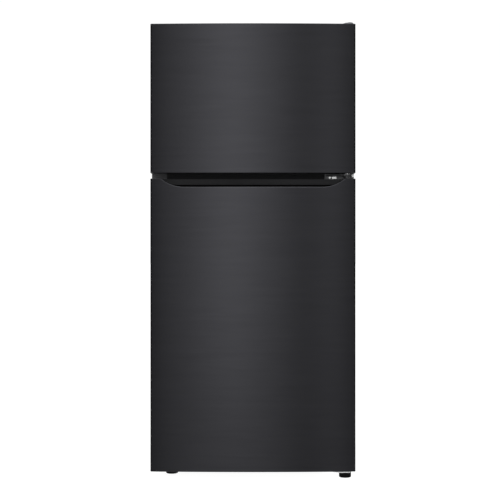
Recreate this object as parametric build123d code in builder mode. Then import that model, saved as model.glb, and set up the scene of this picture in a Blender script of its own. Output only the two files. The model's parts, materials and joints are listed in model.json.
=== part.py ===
from build123d import *
import math
import os

os.makedirs("parts", exist_ok=True)

# Top freezer refrigerator, millimetres.
# +X is the right side seen from the front, the doors face -Y, +Z is up.
# The origin is on the floor, under the middle of the whole cabinet and doors.

# ---- overall size -----------------------------------------------------------
HALF_W = 377.5  # half the width of the cabinet and of both doors
Y_APEX = -406.0  # furthest point of the crowned door fronts
Y_BACK = 406.0  # outer face of the rear cover
Y_CAB = -330.0  # front face of the cabinet, where the gaskets seal
Y_REAR = 404.6  # back edge of the cabinet wrapper
Z_CAB_TOP = 1668.0
Z_CAB_BOT = 40.0
SHEET = 0.8  # painted sheet steel of the wrapper

# ---- doors ------------------------------------------------------------------
CROWN_R = 7672.0  # radius of the crowned front seen from above
EDGE_R = 6.0  # radius of the vertical front edges
HEM_R = 3.0  # radius of the vertical back edges
DOOR_BACK = -342.8  # back face of the door skin's return flange
SKIN = 0.8
FIT = 0.95  # caps and foam stand this far inside the outer skin
FRZ_BOT, FRZ_TOP = 1129.0, 1677.0
FRG_BOT, FRG_TOP = 30.3, 1107.5
HINGE_X, HINGE_Y = 348.0, -371.0
PIN_R = 5.0
BORE_R = 5.08  # running clearance round every pin and stud

# ---- hand pocket in the top of the fridge door ------------------------------
POCKET_FLAT = 255.0  # half the straight part of the dipped edge
POCKET_HALF = 338.0  # where the dipped edge meets the top of the door
POCKET_Z = 1077.0  # height of the straight part
POCKET_BACK = -375.0
POCKET_FLOOR = 1050.0
POCKET_R = ((POCKET_HALF - POCKET_FLAT) ** 2 + (FRG_TOP - POCKET_Z) ** 2) / (
    2 * (FRG_TOP - POCKET_Z)
)

# ---- compartments -----------------------------------------------------------
LIN_X = 320.0  # half the inner width of both compartments
LIN_T = 1.2  # liner thickness
FRZ_Z0, FRZ_Z1 = 1154.0, 1618.0
FRG_Z0, FRG_Z1 = 120.0, 1082.0
LIN_Y = 345.0  # inner face of both rear walls
MACH_Y, MACH_Z = 160.0, 335.0  # machine compartment: front wall and ceiling
FLOOR_Z = 60.0  # underside of the insulated floor


def save(name, builder):
    """Label one finished piece and write it."""
    builder.part.label = name
    export_step(builder.part, "parts/" + name + ".step")


def block(x0, x1, y0, y1, z0, z1, mode=Mode.ADD):
    """A rectangle drawn at z0 and extruded up to z1."""
    with BuildSketch(Plane.XY.offset(z0)) as s:
        with Locations(((x0 + x1) / 2, (y0 + y1) / 2)):
            Rectangle(x1 - x0, y1 - y0)
    extrude(s.sketch, amount=z1 - z0, mode=mode)


def rod_z(x, y, z0, z1, r, mode=Mode.ADD):
    """A round rod or hole standing along Z."""
    with BuildSketch(Plane.XY.offset(z0)) as s:
        with Locations((x, y)):
            Circle(r)
    extrude(s.sketch, amount=z1 - z0, mode=mode)


def rod_y(x, z, y0, y1, r, mode=Mode.ADD):
    """A round rod or hole lying along Y, from y0 back to y1."""
    with BuildSketch(Plane.XZ.offset(-y1)) as s:
        with Locations((x, z)):
            Circle(r)
    extrude(s.sketch, amount=y1 - y0, mode=mode)


def rod_x(y, z, x0, x1, r, mode=Mode.ADD):
    """A round rod or hole lying along X."""
    with BuildSketch(Plane.YZ.offset(x0)) as s:
        with Locations((y, z)):
            Circle(r)
    extrude(s.sketch, amount=x1 - x0, mode=mode)


def side_profile(points, x0, x1, mode=Mode.ADD):
    """A closed outline in the Y-Z plane, extruded along X."""
    with BuildSketch(Plane.YZ.offset(x0)) as s:
        with BuildLine():
            Polyline(*points, close=True)
        make_face()
    extrude(s.sketch, amount=x1 - x0, mode=mode)


def frame_y(hx, z0, z1, wide, y0, y1, r_out, r_in, mode=Mode.ADD):
    """A rectangular ring standing in the X-Z plane, extruded from y0 to y1."""
    with BuildSketch(Plane.XZ.offset(-y1)) as s:
        with Locations((0, (z0 + z1) / 2)):
            RectangleRounded(2 * hx, z1 - z0, r_out)
            RectangleRounded(2 * hx - 2 * wide, z1 - z0 - 2 * wide, r_in, mode=Mode.SUBTRACT)
    extrude(s.sketch, amount=y1 - y0, mode=mode)


def door_plan(z, inset, back=DOOR_BACK):
    """Outline of a door seen from above: flat back, crowned front, rounded edges."""
    hw = HALF_W - inset
    r = CROWN_R - inset
    apex = Y_APEX + inset
    edge = apex + r - math.sqrt(r * r - hw * hw)
    y_back = back - inset
    with BuildSketch(Plane.XY.offset(z)) as s:
        with BuildLine():
            Polyline((-hw, edge), (-hw, y_back), (hw, y_back), (hw, edge))
            ThreePointArc((hw, edge), (0, apex), (-hw, edge))
        make_face()
        fillet(s.vertices().group_by(Axis.Y)[0], radius=EDGE_R - inset)
        fillet(s.vertices().group_by(Axis.Y)[-1], radius=HEM_R - inset)
    return s.sketch


def pocket_outline(drop):
    """The dipped front edge of the hand pocket, lowered by drop, drawn in X-Z."""
    half = math.asin((POCKET_HALF - POCKET_FLAT) / POCKET_R) / 2
    mx = POCKET_FLAT + POCKET_R * math.sin(half)
    mz = POCKET_Z + POCKET_R * (1 - math.cos(half)) - drop
    flat, top = POCKET_Z - drop, FRG_TOP - drop
    with BuildSketch(Plane.XZ.offset(378)) as s:
        with BuildLine():
            Line((-POCKET_FLAT, flat), (POCKET_FLAT, flat))
            ThreePointArc((POCKET_FLAT, flat), (mx, mz), (POCKET_HALF, top))
            Polyline(
                (POCKET_HALF, top),
                (POCKET_HALF, FRG_TOP + 20),
                (-POCKET_HALF, FRG_TOP + 20),
                (-POCKET_HALF, top),
            )
            ThreePointArc((-POCKET_HALF, top), (-mx, mz), (-POCKET_FLAT, flat))
        make_face()
    return s.sketch


# =============================================================================
# Cabinet shell
# =============================================================================

FOLD_R = 3.0  # bend radius of the wrapper's two long top edges
with BuildPart() as wrapper_inside:
    block(-HALF_W + SHEET, HALF_W - SHEET, Y_CAB + SHEET, Y_REAR + 1, Z_CAB_BOT - 1, Z_CAB_TOP - SHEET)
    fillet(wrapper_inside.edges().filter_by(Axis.Y).group_by(Axis.Z)[-1], radius=FOLD_R - SHEET)

# One folded sheet: two sides, a top, and return flanges that face the doors.
with BuildPart() as cabinet_wrapper:
    block(-HALF_W, HALF_W, Y_CAB, Y_REAR, Z_CAB_BOT, Z_CAB_TOP)
    fillet(cabinet_wrapper.edges().filter_by(Axis.Y).group_by(Axis.Z)[-1], radius=FOLD_R)
    add(wrapper_inside.part, mode=Mode.SUBTRACT)
    block(
        -LIN_X - LIN_T,
        LIN_X + LIN_T,
        Y_CAB - 1,
        Y_CAB + 2,
        Z_CAB_BOT - 1,
        FRZ_Z1 + LIN_T,
        Mode.SUBTRACT,
    )
save("cabinet_wrapper", cabinet_wrapper)

# Flat galvanised sheet with two pressed stiffening ribs.
with BuildPart() as rear_panel:
    block(-HALF_W + 1, HALF_W - 1, Y_REAR, Y_REAR + SHEET, MACH_Z + 1, Z_CAB_TOP - 1)
    fillet(rear_panel.edges().filter_by(Axis.Y).group_by(Axis.Z)[-1], radius=3)
    for x in (-190, 190):
        block(x - 14, x + 14, Y_REAR + SHEET, Y_BACK, MACH_Z + 90, Z_CAB_TOP - 110)
save("rear_panel", rear_panel)

# Foamed walls, built up of panels that meet face to face.
OUT_X = HALF_W - SHEET
IN_X = LIN_X + LIN_T
STEP_IN = [(113.2, 118.8), (113.2, 329.5), (189.6, 398.8), (LIN_Y + LIN_T, 398.8)]
with BuildPart() as cabinet_insulation:
    for s in (-1, 1):
        xa, xb = sorted((s * OUT_X, s * IN_X))
        block(xa, xb, Y_CAB + SHEET, MACH_Y, FLOOR_Z, MACH_Z)
panels = [s for s in cabinet_insulation.part.solids()]
with BuildPart() as upper_left:
    block(-OUT_X, -IN_X, Y_CAB + SHEET, Y_REAR, MACH_Z, Z_CAB_TOP - SHEET)
    fillet(upper_left.edges().filter_by(Axis.Y).group_by(Axis.Z)[-1].sort_by(Axis.X)[0], radius=FOLD_R - SHEET)
with BuildPart() as upper_right:
    block(IN_X, OUT_X, Y_CAB + SHEET, Y_REAR, MACH_Z, Z_CAB_TOP - SHEET)
    fillet(upper_right.edges().filter_by(Axis.Y).group_by(Axis.Z)[-1].sort_by(Axis.X)[-1], radius=FOLD_R - SHEET)
with BuildPart() as top_foam:
    block(-IN_X, IN_X, Y_CAB + SHEET, Y_REAR, FRZ_Z1 + LIN_T, Z_CAB_TOP - SHEET)
with BuildPart() as rear_foam:
    block(-IN_X, IN_X, LIN_Y + LIN_T, Y_REAR, MACH_Z, FRZ_Z1 + LIN_T)
with BuildPart() as mullion_foam:
    block(-IN_X, IN_X, Y_CAB + 1.2, LIN_Y + LIN_T, FRG_Z1 + LIN_T, FRZ_Z0 - LIN_T)
with BuildPart() as floor_foam:
    block(-IN_X, IN_X, Y_CAB + 1.2, MACH_Y, FLOOR_Z, FRG_Z0 - LIN_T)
with BuildPart() as step_riser:
    side_profile([STEP_IN[0], (MACH_Y, 118.8), (MACH_Y, 285), STEP_IN[1]], -IN_X, IN_X)
with BuildPart() as step_slope:
    side_profile([STEP_IN[1], (MACH_Y, 285), (215, MACH_Z), STEP_IN[2]], -IN_X, IN_X)
with BuildPart() as step_tread:
    side_profile(
        [STEP_IN[2], (215, MACH_Z), (LIN_Y + LIN_T, MACH_Z), STEP_IN[3]], -IN_X, IN_X
    )
for b in (
    upper_left,
    upper_right,
    top_foam,
    rear_foam,
    mullion_foam,
    floor_foam,
    step_riser,
    step_slope,
    step_tread,
):
    panels += [s for s in b.part.solids()]
foam = Compound(children=panels, label="cabinet_insulation")
export_step(foam, "parts/cabinet_insulation.step")

CORNER_R, REAR_R = 20.0, 14.0  # inside corners of the vacuum-formed liners
with BuildPart() as freezer_cavity:
    block(-LIN_X, LIN_X, Y_CAB - 1, LIN_Y, FRZ_Z0, FRZ_Z1)
    fillet(freezer_cavity.edges().filter_by(Axis.Y), radius=CORNER_R)
    fillet(freezer_cavity.edges().group_by(Axis.Y)[-1], radius=REAR_R)

# White inner box of the freezer, open at the front.
with BuildPart() as freezer_liner:
    block(-IN_X, IN_X, Y_CAB, LIN_Y + LIN_T, FRZ_Z0 - LIN_T, FRZ_Z1 + LIN_T)
    add(freezer_cavity.part, mode=Mode.SUBTRACT)
    for x in (-LIN_X, LIN_X - 9):
        block(x, x + 9, -188, 225, 1372, 1380)
save("freezer_liner", freezer_liner)

with BuildPart() as fridge_cavity:
    side_profile(
        [
            (Y_CAB - 1, FRG_Z0),
            (112, FRG_Z0),
            (112, 330),
            (189.2, 400),
            (LIN_Y, 400),
            (LIN_Y, FRG_Z1),
            (Y_CAB - 1, FRG_Z1),
        ],
        -LIN_X,
        LIN_X,
    )
    fillet(fridge_cavity.edges().filter_by(Axis.Y).group_by(Axis.Z)[-1], radius=CORNER_R)
    fillet(
        fridge_cavity.edges().filter_by(lambda e: e.center().Y > LIN_Y - 0.1 and e.center().Z > 401),
        radius=REAR_R,
    )

# White inner box of the fridge, stepped over the machine compartment,
# with ledges on both sides for the shelves.
with BuildPart() as fridge_liner:
    side_profile(
        [(Y_CAB, FRG_Z0 - LIN_T)]
        + STEP_IN
        + [(LIN_Y + LIN_T, FRG_Z1 + LIN_T), (Y_CAB, FRG_Z1 + LIN_T)],
        -IN_X,
        IN_X,
    )
    add(fridge_cavity.part, mode=Mode.SUBTRACT)
    for z in (580, 700, 820, 940):
        for x in (-LIN_X, LIN_X - 9):
            block(x, x + 9, -190, 300, z - 6, z + 2)
save("fridge_liner", fridge_liner)

# Steel strip between the two compartments: both gaskets seal on it.
with BuildPart() as mullion_strip:
    block(-IN_X, IN_X, Y_CAB, Y_CAB + 1.2, FRG_Z1 + LIN_T, FRZ_Z0 - LIN_T)
save("mullion_strip", mullion_strip)

# =============================================================================
# Base: rails, feet brackets, rollers
# =============================================================================
FOOT_L = (-306.5, -271.0)
FOOT_R = (343.2, -342.0)
PLATE_Z0, PLATE_Z1 = 25.2, 28.6

# Front rail with the left foot's bracket and its threaded stud.
with BuildPart() as front_base_rail:
    block(-IN_X, IN_X, Y_CAB, Y_CAB + 1.2, 46, FRG_Z0 - LIN_T)
    block(-374.6, 374.6, Y_CAB + 1, -230, 46, 47.6)
    block(-338.5, -274.5, -297, -234, PLATE_Z0, PLATE_Z1)
    block(-338.5, -274.5, -238, -234, PLATE_Z0, 46)
    fillet(
        front_base_rail.edges()
        .filter_by(Axis.Z)
        .filter_by(lambda e: abs(e.center().Y + 297) < 0.1),
        radius=12,
    )
    rod_z(FOOT_L[0], FOOT_L[1], 4.5, PLATE_Z0, PIN_R)
save("front_base_rail", front_base_rail)

ROLL_X, ROLL_Y, ROLL_R = 330.0, 340.0, 23.0
# Side rails under the cabinet, each with a riveted roller axle.
with BuildPart() as chassis_rails:
    for s in (-1, 1):
        xa, xb = sorted((s * 374.7, s * 376.7))
        side_profile(
            [
                (-328, 42),
                (300, 42),
                (318, 12),
                (362, 12),
                (380, 42),
                (404, 42),
                (404, MACH_Z),
                (MACH_Y, MACH_Z),
                (MACH_Y, FLOOR_Z),
                (-328, FLOOR_Z),
            ],
            xa,
            xb,
        )
        xa, xb = sorted((s * 317, s * 374.7))
        rod_x(ROLL_Y, ROLL_R, xa, xb, PIN_R)
        xa, xb = sorted((s * 314, s * 317))
        rod_x(ROLL_Y, ROLL_R, xa, xb, 9)
        xa, xb = sorted((s * 344, s * 347))
        rod_x(ROLL_Y, ROLL_R, xa, xb, 9)
save("chassis_rails", chassis_rails)

# Folded tray: it closes the cabinet's underside and lines the machine compartment.
with BuildPart() as base_pan:
    side_profile(
        [
            (Y_CAB + 4, FLOOR_Z - 1.2),
            (MACH_Y, FLOOR_Z - 1.2),
            (MACH_Y, 50),
            (402, 50),
            (402, 51.5),
            (MACH_Y + 1.2, 51.5),
            (MACH_Y + 1.2, 284.5),
            (215.5, MACH_Z - 1.2),
            (402, MACH_Z - 1.2),
            (402, MACH_Z),
            (215, MACH_Z),
            (MACH_Y, 285),
            (MACH_Y, FLOOR_Z),
            (Y_CAB + 4, FLOOR_Z),
        ],
        -374.6,
        374.6,
    )
save("base_pan", base_pan)

for node, s in (("left_roller", -1), ("right_roller", 1)):
    with BuildPart() as roller:
        xa, xb = sorted((s * 319, s * 342))
        rod_x(ROLL_Y, ROLL_R, xa, xb, ROLL_R)
        fillet(roller.edges().filter_by(GeomType.CIRCLE), radius=2.5)
        rod_x(ROLL_Y, ROLL_R, xa - 1, xb + 1, BORE_R, Mode.SUBTRACT)
        for x in (xa, xb):
            d = 3 if x == xa else -3
            a, b = sorted((x, x + d))
            with BuildSketch(Plane.YZ.offset(a)) as groove:
                with Locations((ROLL_Y, ROLL_R)):
                    Circle(17)
                    Circle(9, mode=Mode.SUBTRACT)
            extrude(groove.sketch, amount=b - a, mode=Mode.SUBTRACT)
    save(node, roller)

for node, (fx, fy) in (("left_foot", FOOT_L), ("right_foot", FOOT_R)):
    # Round levelling foot, turned on its stud to raise the cabinet.
    with BuildPart() as foot:
        rod_z(fx, fy, 0, 22, 22.5)
        fillet(foot.edges().group_by(Axis.Z)[0], radius=3)
        fillet(foot.edges().group_by(Axis.Z)[-1], radius=2)
        with BuildSketch(Plane.XY.offset(5)) as grips:
            with Locations((fx, fy)):
                with PolarLocations(23.7, 12):
                    Circle(2.4)
        extrude(grips.sketch, amount=20, mode=Mode.SUBTRACT)
        rod_z(fx, fy, 3.5, 23, BORE_R, Mode.SUBTRACT)
    save(node, foot)

# =============================================================================
# Hinges
# =============================================================================

# Top hinge: screwed to the cabinet top, stepped up over the freezer door.
with BuildPart() as top_hinge:
    block(322, 366, -326, -232, Z_CAB_TOP, Z_CAB_TOP + 3)
    block(330, 364, -326, -323, Z_CAB_TOP, 1681.2)
    block(337, 362, -371, -323, 1678.2, 1681.2)
    rod_z(HINGE_X, HINGE_Y, 1678.2, 1681.2, 10.5)
    rod_z(HINGE_X, HINGE_Y, 1657, 1681.2, PIN_R)
    for x, y in ((335, -300), (353, -300), (344, -250)):
        rod_z(x, y, Z_CAB_TOP - 1, Z_CAB_TOP + 4, 3.1, Mode.SUBTRACT)
save("top_hinge", top_hinge)

# Moulded cover over the top hinge.
with BuildPart() as top_hinge_cover:
    with BuildSketch(Plane.XY.offset(1677.8)) as crest:
        with BuildLine():
            Polyline((318, -328.6), (344, -370), (351, -388), (363, -388), (371, -377), (372, -328.6), close=True)
        make_face()
    extrude(crest.sketch, amount=7.2)
    block(318, 372, -328.6, -222, Z_CAB_TOP, 1685)
    fillet(top_hinge_cover.edges().group_by(Axis.Z)[-1], radius=3.0)
    with BuildSketch(Plane.XY.offset(1677.8)) as nose:
        with BuildLine():
            Polyline((318, -328.6), (334.6, -374), (343, -388), (360, -388), (360, -328.6), close=True)
        make_face()
    extrude(nose.sketch, amount=4.8)
    with BuildSketch(Plane.XY.offset(1677)) as hollow:
        with BuildLine():
            Polyline((320, -328.6), (336.4, -373), (344.2, -386), (362, -386), (369.2, -376.4), (370, -328.6), close=True)
        make_face()
    extrude(hollow.sketch, amount=4.8, mode=Mode.SUBTRACT)
    block(320, 370, -329, -224, Z_CAB_TOP - 1, 1683, Mode.SUBTRACT)
save("top_hinge_cover", top_hinge_cover)

# Middle hinge: carries the freezer door above and steadies the fridge door below.
with BuildPart() as middle_hinge:
    block(268, 366, Y_CAB - 2.6, Y_CAB, 1108.4, 1128.2)
    with BuildSketch(Plane.XY.offset(1120.5)) as tongue:
        with BuildLine():
            Polyline((272, Y_CAB), (280, -344), (326, -379), (336, -384), (360, -384), (366, -372), (366, Y_CAB), close=True)
        make_face()
        fillet(tongue.vertices().group_by(Axis.Y)[0], radius=9)
    extrude(tongue.sketch, amount=4)
    rod_z(HINGE_X, HINGE_Y, 1090, 1146, PIN_R)
    rod_z(HINGE_X, HINGE_Y, 1109.5, 1120.5, 9)
    for x in (287, 303.5):
        rod_y(x, 1115, Y_CAB - 3, Y_CAB + 0.5, 2.1, Mode.SUBTRACT)
save("middle_hinge", middle_hinge)

# Bottom hinge: pin for the fridge door, and the right foot's stud under it.
with BuildPart() as bottom_hinge:
    with BuildSketch(Plane.XY.offset(PLATE_Z0)) as plate:
        with BuildLine():
            Polyline((268, -262), (268, -338), (296, -378), (318, -392), (356, -392), (360, -384), (360, -262), close=True)
        make_face()
        fillet(plate.vertices().group_by(Axis.Y)[0], radius=5)
    extrude(plate.sketch, amount=PLATE_Z1 - PLATE_Z0)
    block(276, 360, -266, -262, PLATE_Z0, 46)
    block(276, 360, -300, -262, 42.5, 46)
    rod_z(HINGE_X, HINGE_Y, PLATE_Z1, 50, PIN_R)
    rod_z(HINGE_X, HINGE_Y, PLATE_Z1, 29.9, 9)
    rod_z(FOOT_R[0], FOOT_R[1], 4.5, PLATE_Z0, PIN_R)
    for x in (296, 342):
        rod_z(x, -282, 42, 47, 3.1, Mode.SUBTRACT)
save("bottom_hinge", bottom_hinge)

# Hexagon-headed hinge screws, a washer plate under one of them, and the plain
# washer that the freezer door turns on.
with BuildPart() as hinge_screws:
    rod_z(HINGE_X, HINGE_Y, 1124.6, 1127.8, 11)
    rod_z(HINGE_X, HINGE_Y, 1124, 1128, 5.3, Mode.SUBTRACT)
    with BuildSketch(Plane.XZ.offset(-(Y_CAB - 2.7))) as washer:
        with Locations((303.5, 1115)):
            RectangleRounded(17, 8, 3)
    extrude(washer.sketch, amount=1.8)
    rod_y(303.5, 1115, Y_CAB - 5, Y_CAB - 2, 2.3, Mode.SUBTRACT)
    for x, y in ((335, -300), (353, -300), (344, -250)):
        rod_z(x, y, Z_CAB_TOP + 0.1, Z_CAB_TOP + 3, 3.0)
        with BuildSketch(Plane.XY.offset(Z_CAB_TOP + 3)) as head:
            with Locations((x, y)):
                RegularPolygon(5.2, 6)
        extrude(head.sketch, amount=4)
    for x, base, head_r in ((287, 2.7, 4.2), (303.5, 4.6, 3.6)):
        rod_y(x, 1115, Y_CAB - base, Y_CAB - 0.1, 2.0)
        with BuildSketch(Plane.XZ.offset(-(Y_CAB - base))) as head:
            with Locations((x, 1115)):
                RegularPolygon(head_r, 6)
        extrude(head.sketch, amount=3.2)
    for x in (296, 342):
        rod_z(x, -282, 42.5, 45.9, 3.0)
        with BuildSketch(Plane.XY.offset(38.5)) as head:
            with Locations((x, -282)):
                RegularPolygon(5.2, 6)
        extrude(head.sketch, amount=4)
save("hinge_screws", hinge_screws)

# =============================================================================
# Freezer door
# =============================================================================
FRZ_CAP_T = FRZ_TOP - 22.0
FRZ_CAP_B = FRZ_BOT + 23.0

with BuildPart() as freezer_door_skin:
    extrude(door_plan(FRZ_BOT, 0), amount=FRZ_TOP - FRZ_BOT)
    extrude(door_plan(FRZ_BOT - 1, SKIN), amount=FRZ_TOP - FRZ_BOT + 2, mode=Mode.SUBTRACT)
    block(-362, 362, DOOR_BACK - 2, DOOR_BACK + 1, FRZ_BOT - 1, FRZ_TOP + 1, Mode.SUBTRACT)
save("freezer_door_skin", freezer_door_skin)

# End caps close the skin; the lower one has a finger grip on its underside.
with BuildPart() as freezer_cap_top:
    extrude(door_plan(FRZ_CAP_T, FIT), amount=FRZ_TOP - 0.8 - FRZ_CAP_T)
    rod_z(HINGE_X, HINGE_Y, FRZ_CAP_T - 1, FRZ_TOP, BORE_R, Mode.SUBTRACT)
with BuildPart() as freezer_cap_bottom:
    extrude(door_plan(FRZ_BOT + 0.8, FIT), amount=FRZ_CAP_B - FRZ_BOT - 0.8)
    block(-210, 210, -399, -368, FRZ_BOT - 1, FRZ_CAP_B - 3, Mode.SUBTRACT)
    rod_z(HINGE_X, HINGE_Y, FRZ_BOT, FRZ_CAP_B + 1, BORE_R, Mode.SUBTRACT)
caps = Compound(
    children=[freezer_cap_top.part.solids()[0], freezer_cap_bottom.part.solids()[0]],
    label="freezer_door_caps",
)
export_step(caps, "parts/freezer_door_caps.step")

DYKE_X, DYKE_W, DYKE_Y = 306.0, 22.0, -290.0
LINER_BACK, LINER_FACE = -343.6, -341.6
GASKET_X, GASKET_W = 347.5, 19.0
GASKET_FACE = Y_CAB - 0.4


RIM_R = 16.0  # outer corner radius of the liners' raised rims


def door_foam(z0, z1, d0, d1):
    """The foam slab of a door and the four foam bars inside its liner's raised rim."""
    with BuildPart() as slab:
        extrude(door_plan(z0, FIT), amount=z1 - z0)
    solids = [s for s in slab.part.solids()]
    a, b = DYKE_X - DYKE_W + 1.7, DYKE_X - 1.7
    ya, yb = -343.7, DYKE_Y - 1.7
    bars = [
        (-b, -a, d0 + 1.7, d1 - 1.7),
        (a, b, d0 + 1.7, d1 - 1.7),
        (-a, a, d0 + 1.7, d0 + DYKE_W - 1.7),
        (-a, a, d1 - DYKE_W + 1.7, d1 - 1.7),
    ]
    for x0, x1, za, zb in bars:
        with BuildPart() as bar:
            block(x0, x1, ya, yb, za, zb)
            if x1 - x0 < DYKE_W:
                side = 0 if x0 < 0 else -1
                fillet(bar.edges().filter_by(Axis.Y).group_by(Axis.X)[side], radius=RIM_R - 1.7)
        solids += [s for s in bar.part.solids()]
    return solids


def door_liner(z0, z1, d0, d1):
    """Vacuum-formed inner panel of a door: a flat flange and a raised hollow rim."""
    with BuildPart() as p:
        with BuildSketch(Plane.XZ.offset(-LINER_FACE)) as plate:
            with Locations((0, (z0 + z1) / 2)):
                RectangleRounded(2 * 361.8, z1 - z0, 6)
        extrude(plate.sketch, amount=LINER_FACE - LINER_BACK)
        frame_y(DYKE_X, d0, d1, DYKE_W, LINER_FACE, DYKE_Y, RIM_R, 8)
        fillet(p.edges().group_by(Axis.Y)[-1], radius=5)
        frame_y(DYKE_X - 1.6, d0 + 1.6, d1 - 1.6, DYKE_W - 3.2, LINER_BACK - 1, DYKE_Y - 1.6, RIM_R - 1.6, 0.05, Mode.SUBTRACT)
    return p


def door_gasket(z0, z1):
    """Magnetic door seal: a hollow-looking ribbed ring."""
    with BuildPart() as p:
        frame_y(GASKET_X, z0, z1, GASKET_W, LINER_FACE, GASKET_FACE, 5, 3)
        frame_y(GASKET_X + 1, z0 - 1, z1 + 1, 4, -339.2, -336.8, 3, 3, Mode.SUBTRACT)
        frame_y(GASKET_X - GASKET_W + 3, z0 + GASKET_W - 3, z1 - GASKET_W + 3, 4, -339.2, -336.8, 3, 3, Mode.SUBTRACT)
    return p


def door_bin(z0, high, y_in=-243.0, hx=281.5):
    """Open tray that hooks between the two sides of a door liner's rim."""
    with BuildPart() as p:
        block(-hx, hx, -340.5, y_in, z0, z0 + high)
        fillet(
            p.edges().filter_by(Axis.Z).filter_by(lambda e: e.center().Y > y_in - 1),
            radius=22,
        )
        fillet(p.edges().group_by(Axis.Z)[0], radius=4)
        with BuildSketch(Plane.XY.offset(z0 + 3)) as inner:
            with BuildLine():
                x, ya, yb = hx - 3, -337.5, y_in - 3
                Polyline((-x, yb), (-x, ya), (x, ya), (x, yb), close=True)
            make_face()
            fillet(inner.vertices().group_by(Axis.Y)[-1], radius=19)
        extrude(inner.sketch, amount=high + 1, mode=Mode.SUBTRACT)
        block(-hx + 24, hx - 24, -341, -337, z0 + 45, z0 + high + 1, Mode.SUBTRACT)
    return p


FRZ_D0, FRZ_D1 = 1160.0, 1612.0
frz_foam = Compound(children=door_foam(FRZ_CAP_B, FRZ_CAP_T, FRZ_D0, FRZ_D1), label="freezer_door_insulation")
export_step(frz_foam, "parts/freezer_door_insulation.step")

freezer_door_liner = door_liner(1131.5, 1674.5, FRZ_D0, FRZ_D1)
save("freezer_door_liner", freezer_door_liner)
freezer_door_gasket = door_gasket(1133.0, 1665.0)
save("freezer_door_gasket", freezer_door_gasket)

FRZ_BINS = (1190.0, 1400.0)
bins = []
for z in FRZ_BINS:
    bins += [s for s in door_bin(z, 105).part.solids()]
export_step(Compound(children=bins, label="freezer_door_bins"), "parts/freezer_door_bins.step")

# =============================================================================
# Fridge door
# =============================================================================
FRG_CAP_B = FRG_BOT + 22.0
FRG_CAP_T = 1040.0
HEM = 1.0  # thickness of the folded-back edge along the pocket
HEM_DEPTH = -391.0


# The folded-back edge of the skin along the hand pocket.
with BuildPart() as hem:
    extrude(pocket_outline(HEM), amount=40)
    extrude(pocket_outline(0), amount=40, mode=Mode.SUBTRACT)
    extrude(door_plan(1000, 0), amount=200, mode=Mode.INTERSECT)
    block(-400, 400, HEM_DEPTH, -370, 1000, 1200, Mode.SUBTRACT)

with BuildPart() as fridge_door_skin:
    extrude(door_plan(FRG_BOT, 0), amount=FRG_TOP - FRG_BOT)
    extrude(door_plan(FRG_BOT - 1, SKIN), amount=FRG_TOP - FRG_BOT + 2, mode=Mode.SUBTRACT)
    block(-362, 362, DOOR_BACK - 2, DOOR_BACK + 1, FRG_BOT - 1, FRG_TOP + 1, Mode.SUBTRACT)
    extrude(pocket_outline(0), amount=40, mode=Mode.SUBTRACT)
    add(hem.part)
save("fridge_door_skin", fridge_door_skin)

# The lower part of the hand pocket runs further back, so that fingers hook under it.
with BuildPart() as finger_hook:
    block(-316, 316, POCKET_BACK - 6, -356, POCKET_FLOOR, 1086)
    fillet(finger_hook.edges().filter_by(Axis.X).group_by(Axis.Y)[-1], radius=5)

# Top cap: the hand pocket is moulded into it, behind the dipped edge.
with BuildPart() as fridge_door_top_cap:
    extrude(door_plan(FRG_CAP_T, FIT), amount=FRG_TOP - 0.8 - FRG_CAP_T)
    with BuildSketch(Plane.XY.offset(POCKET_FLOOR)) as pocket:
        with BuildLine():
            r = CROWN_R - 3.6
            x = POCKET_HALF - 9
            front = Y_APEX + 3.6 + r - math.sqrt(r * r - x * x)
            Polyline((x, front), (x, POCKET_BACK - 9), (x - 9, POCKET_BACK), (-x + 9, POCKET_BACK), (-x, POCKET_BACK - 9), (-x, front))
            ThreePointArc((-x, front), (0, Y_APEX + 3.6), (x, front))
        make_face()
    extrude(pocket.sketch, amount=80, mode=Mode.SUBTRACT)
    extrude(pocket_outline(HEM + 0.1), amount=40, mode=Mode.SUBTRACT)
    add(finger_hook.part, mode=Mode.SUBTRACT)
    rod_z(HINGE_X, HINGE_Y, 1088, FRG_TOP, BORE_R, Mode.SUBTRACT)
save("fridge_door_top_cap", fridge_door_top_cap)

with BuildPart() as fridge_door_bottom_cap:
    extrude(door_plan(FRG_BOT + 0.8, FIT), amount=FRG_CAP_B - FRG_BOT - 0.8)
    rod_z(HINGE_X, HINGE_Y, FRG_BOT, FRG_CAP_B + 1, BORE_R, Mode.SUBTRACT)
save("fridge_door_bottom_cap", fridge_door_bottom_cap)

FRG_D0, FRG_D1 = 126.0, 1076.0
frg_foam = Compound(children=door_foam(FRG_CAP_B, FRG_CAP_T, FRG_D0, FRG_D1), label="fridge_door_insulation")
export_step(frg_foam, "parts/fridge_door_insulation.step")
fridge_door_liner = door_liner(33.0, 1105.0, FRG_D0, FRG_D1)
save("fridge_door_liner", fridge_door_liner)
fridge_door_gasket = door_gasket(84.0, 1103.2)
save("fridge_door_gasket", fridge_door_gasket)

FRG_BINS = (156.0, 440.0, 690.0)
bins = []
for z in FRG_BINS:
    bins += [s for s in door_bin(z, 110).part.solids()]
export_step(Compound(children=bins, label="fridge_door_bins"), "parts/fridge_door_bins.step")

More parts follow.
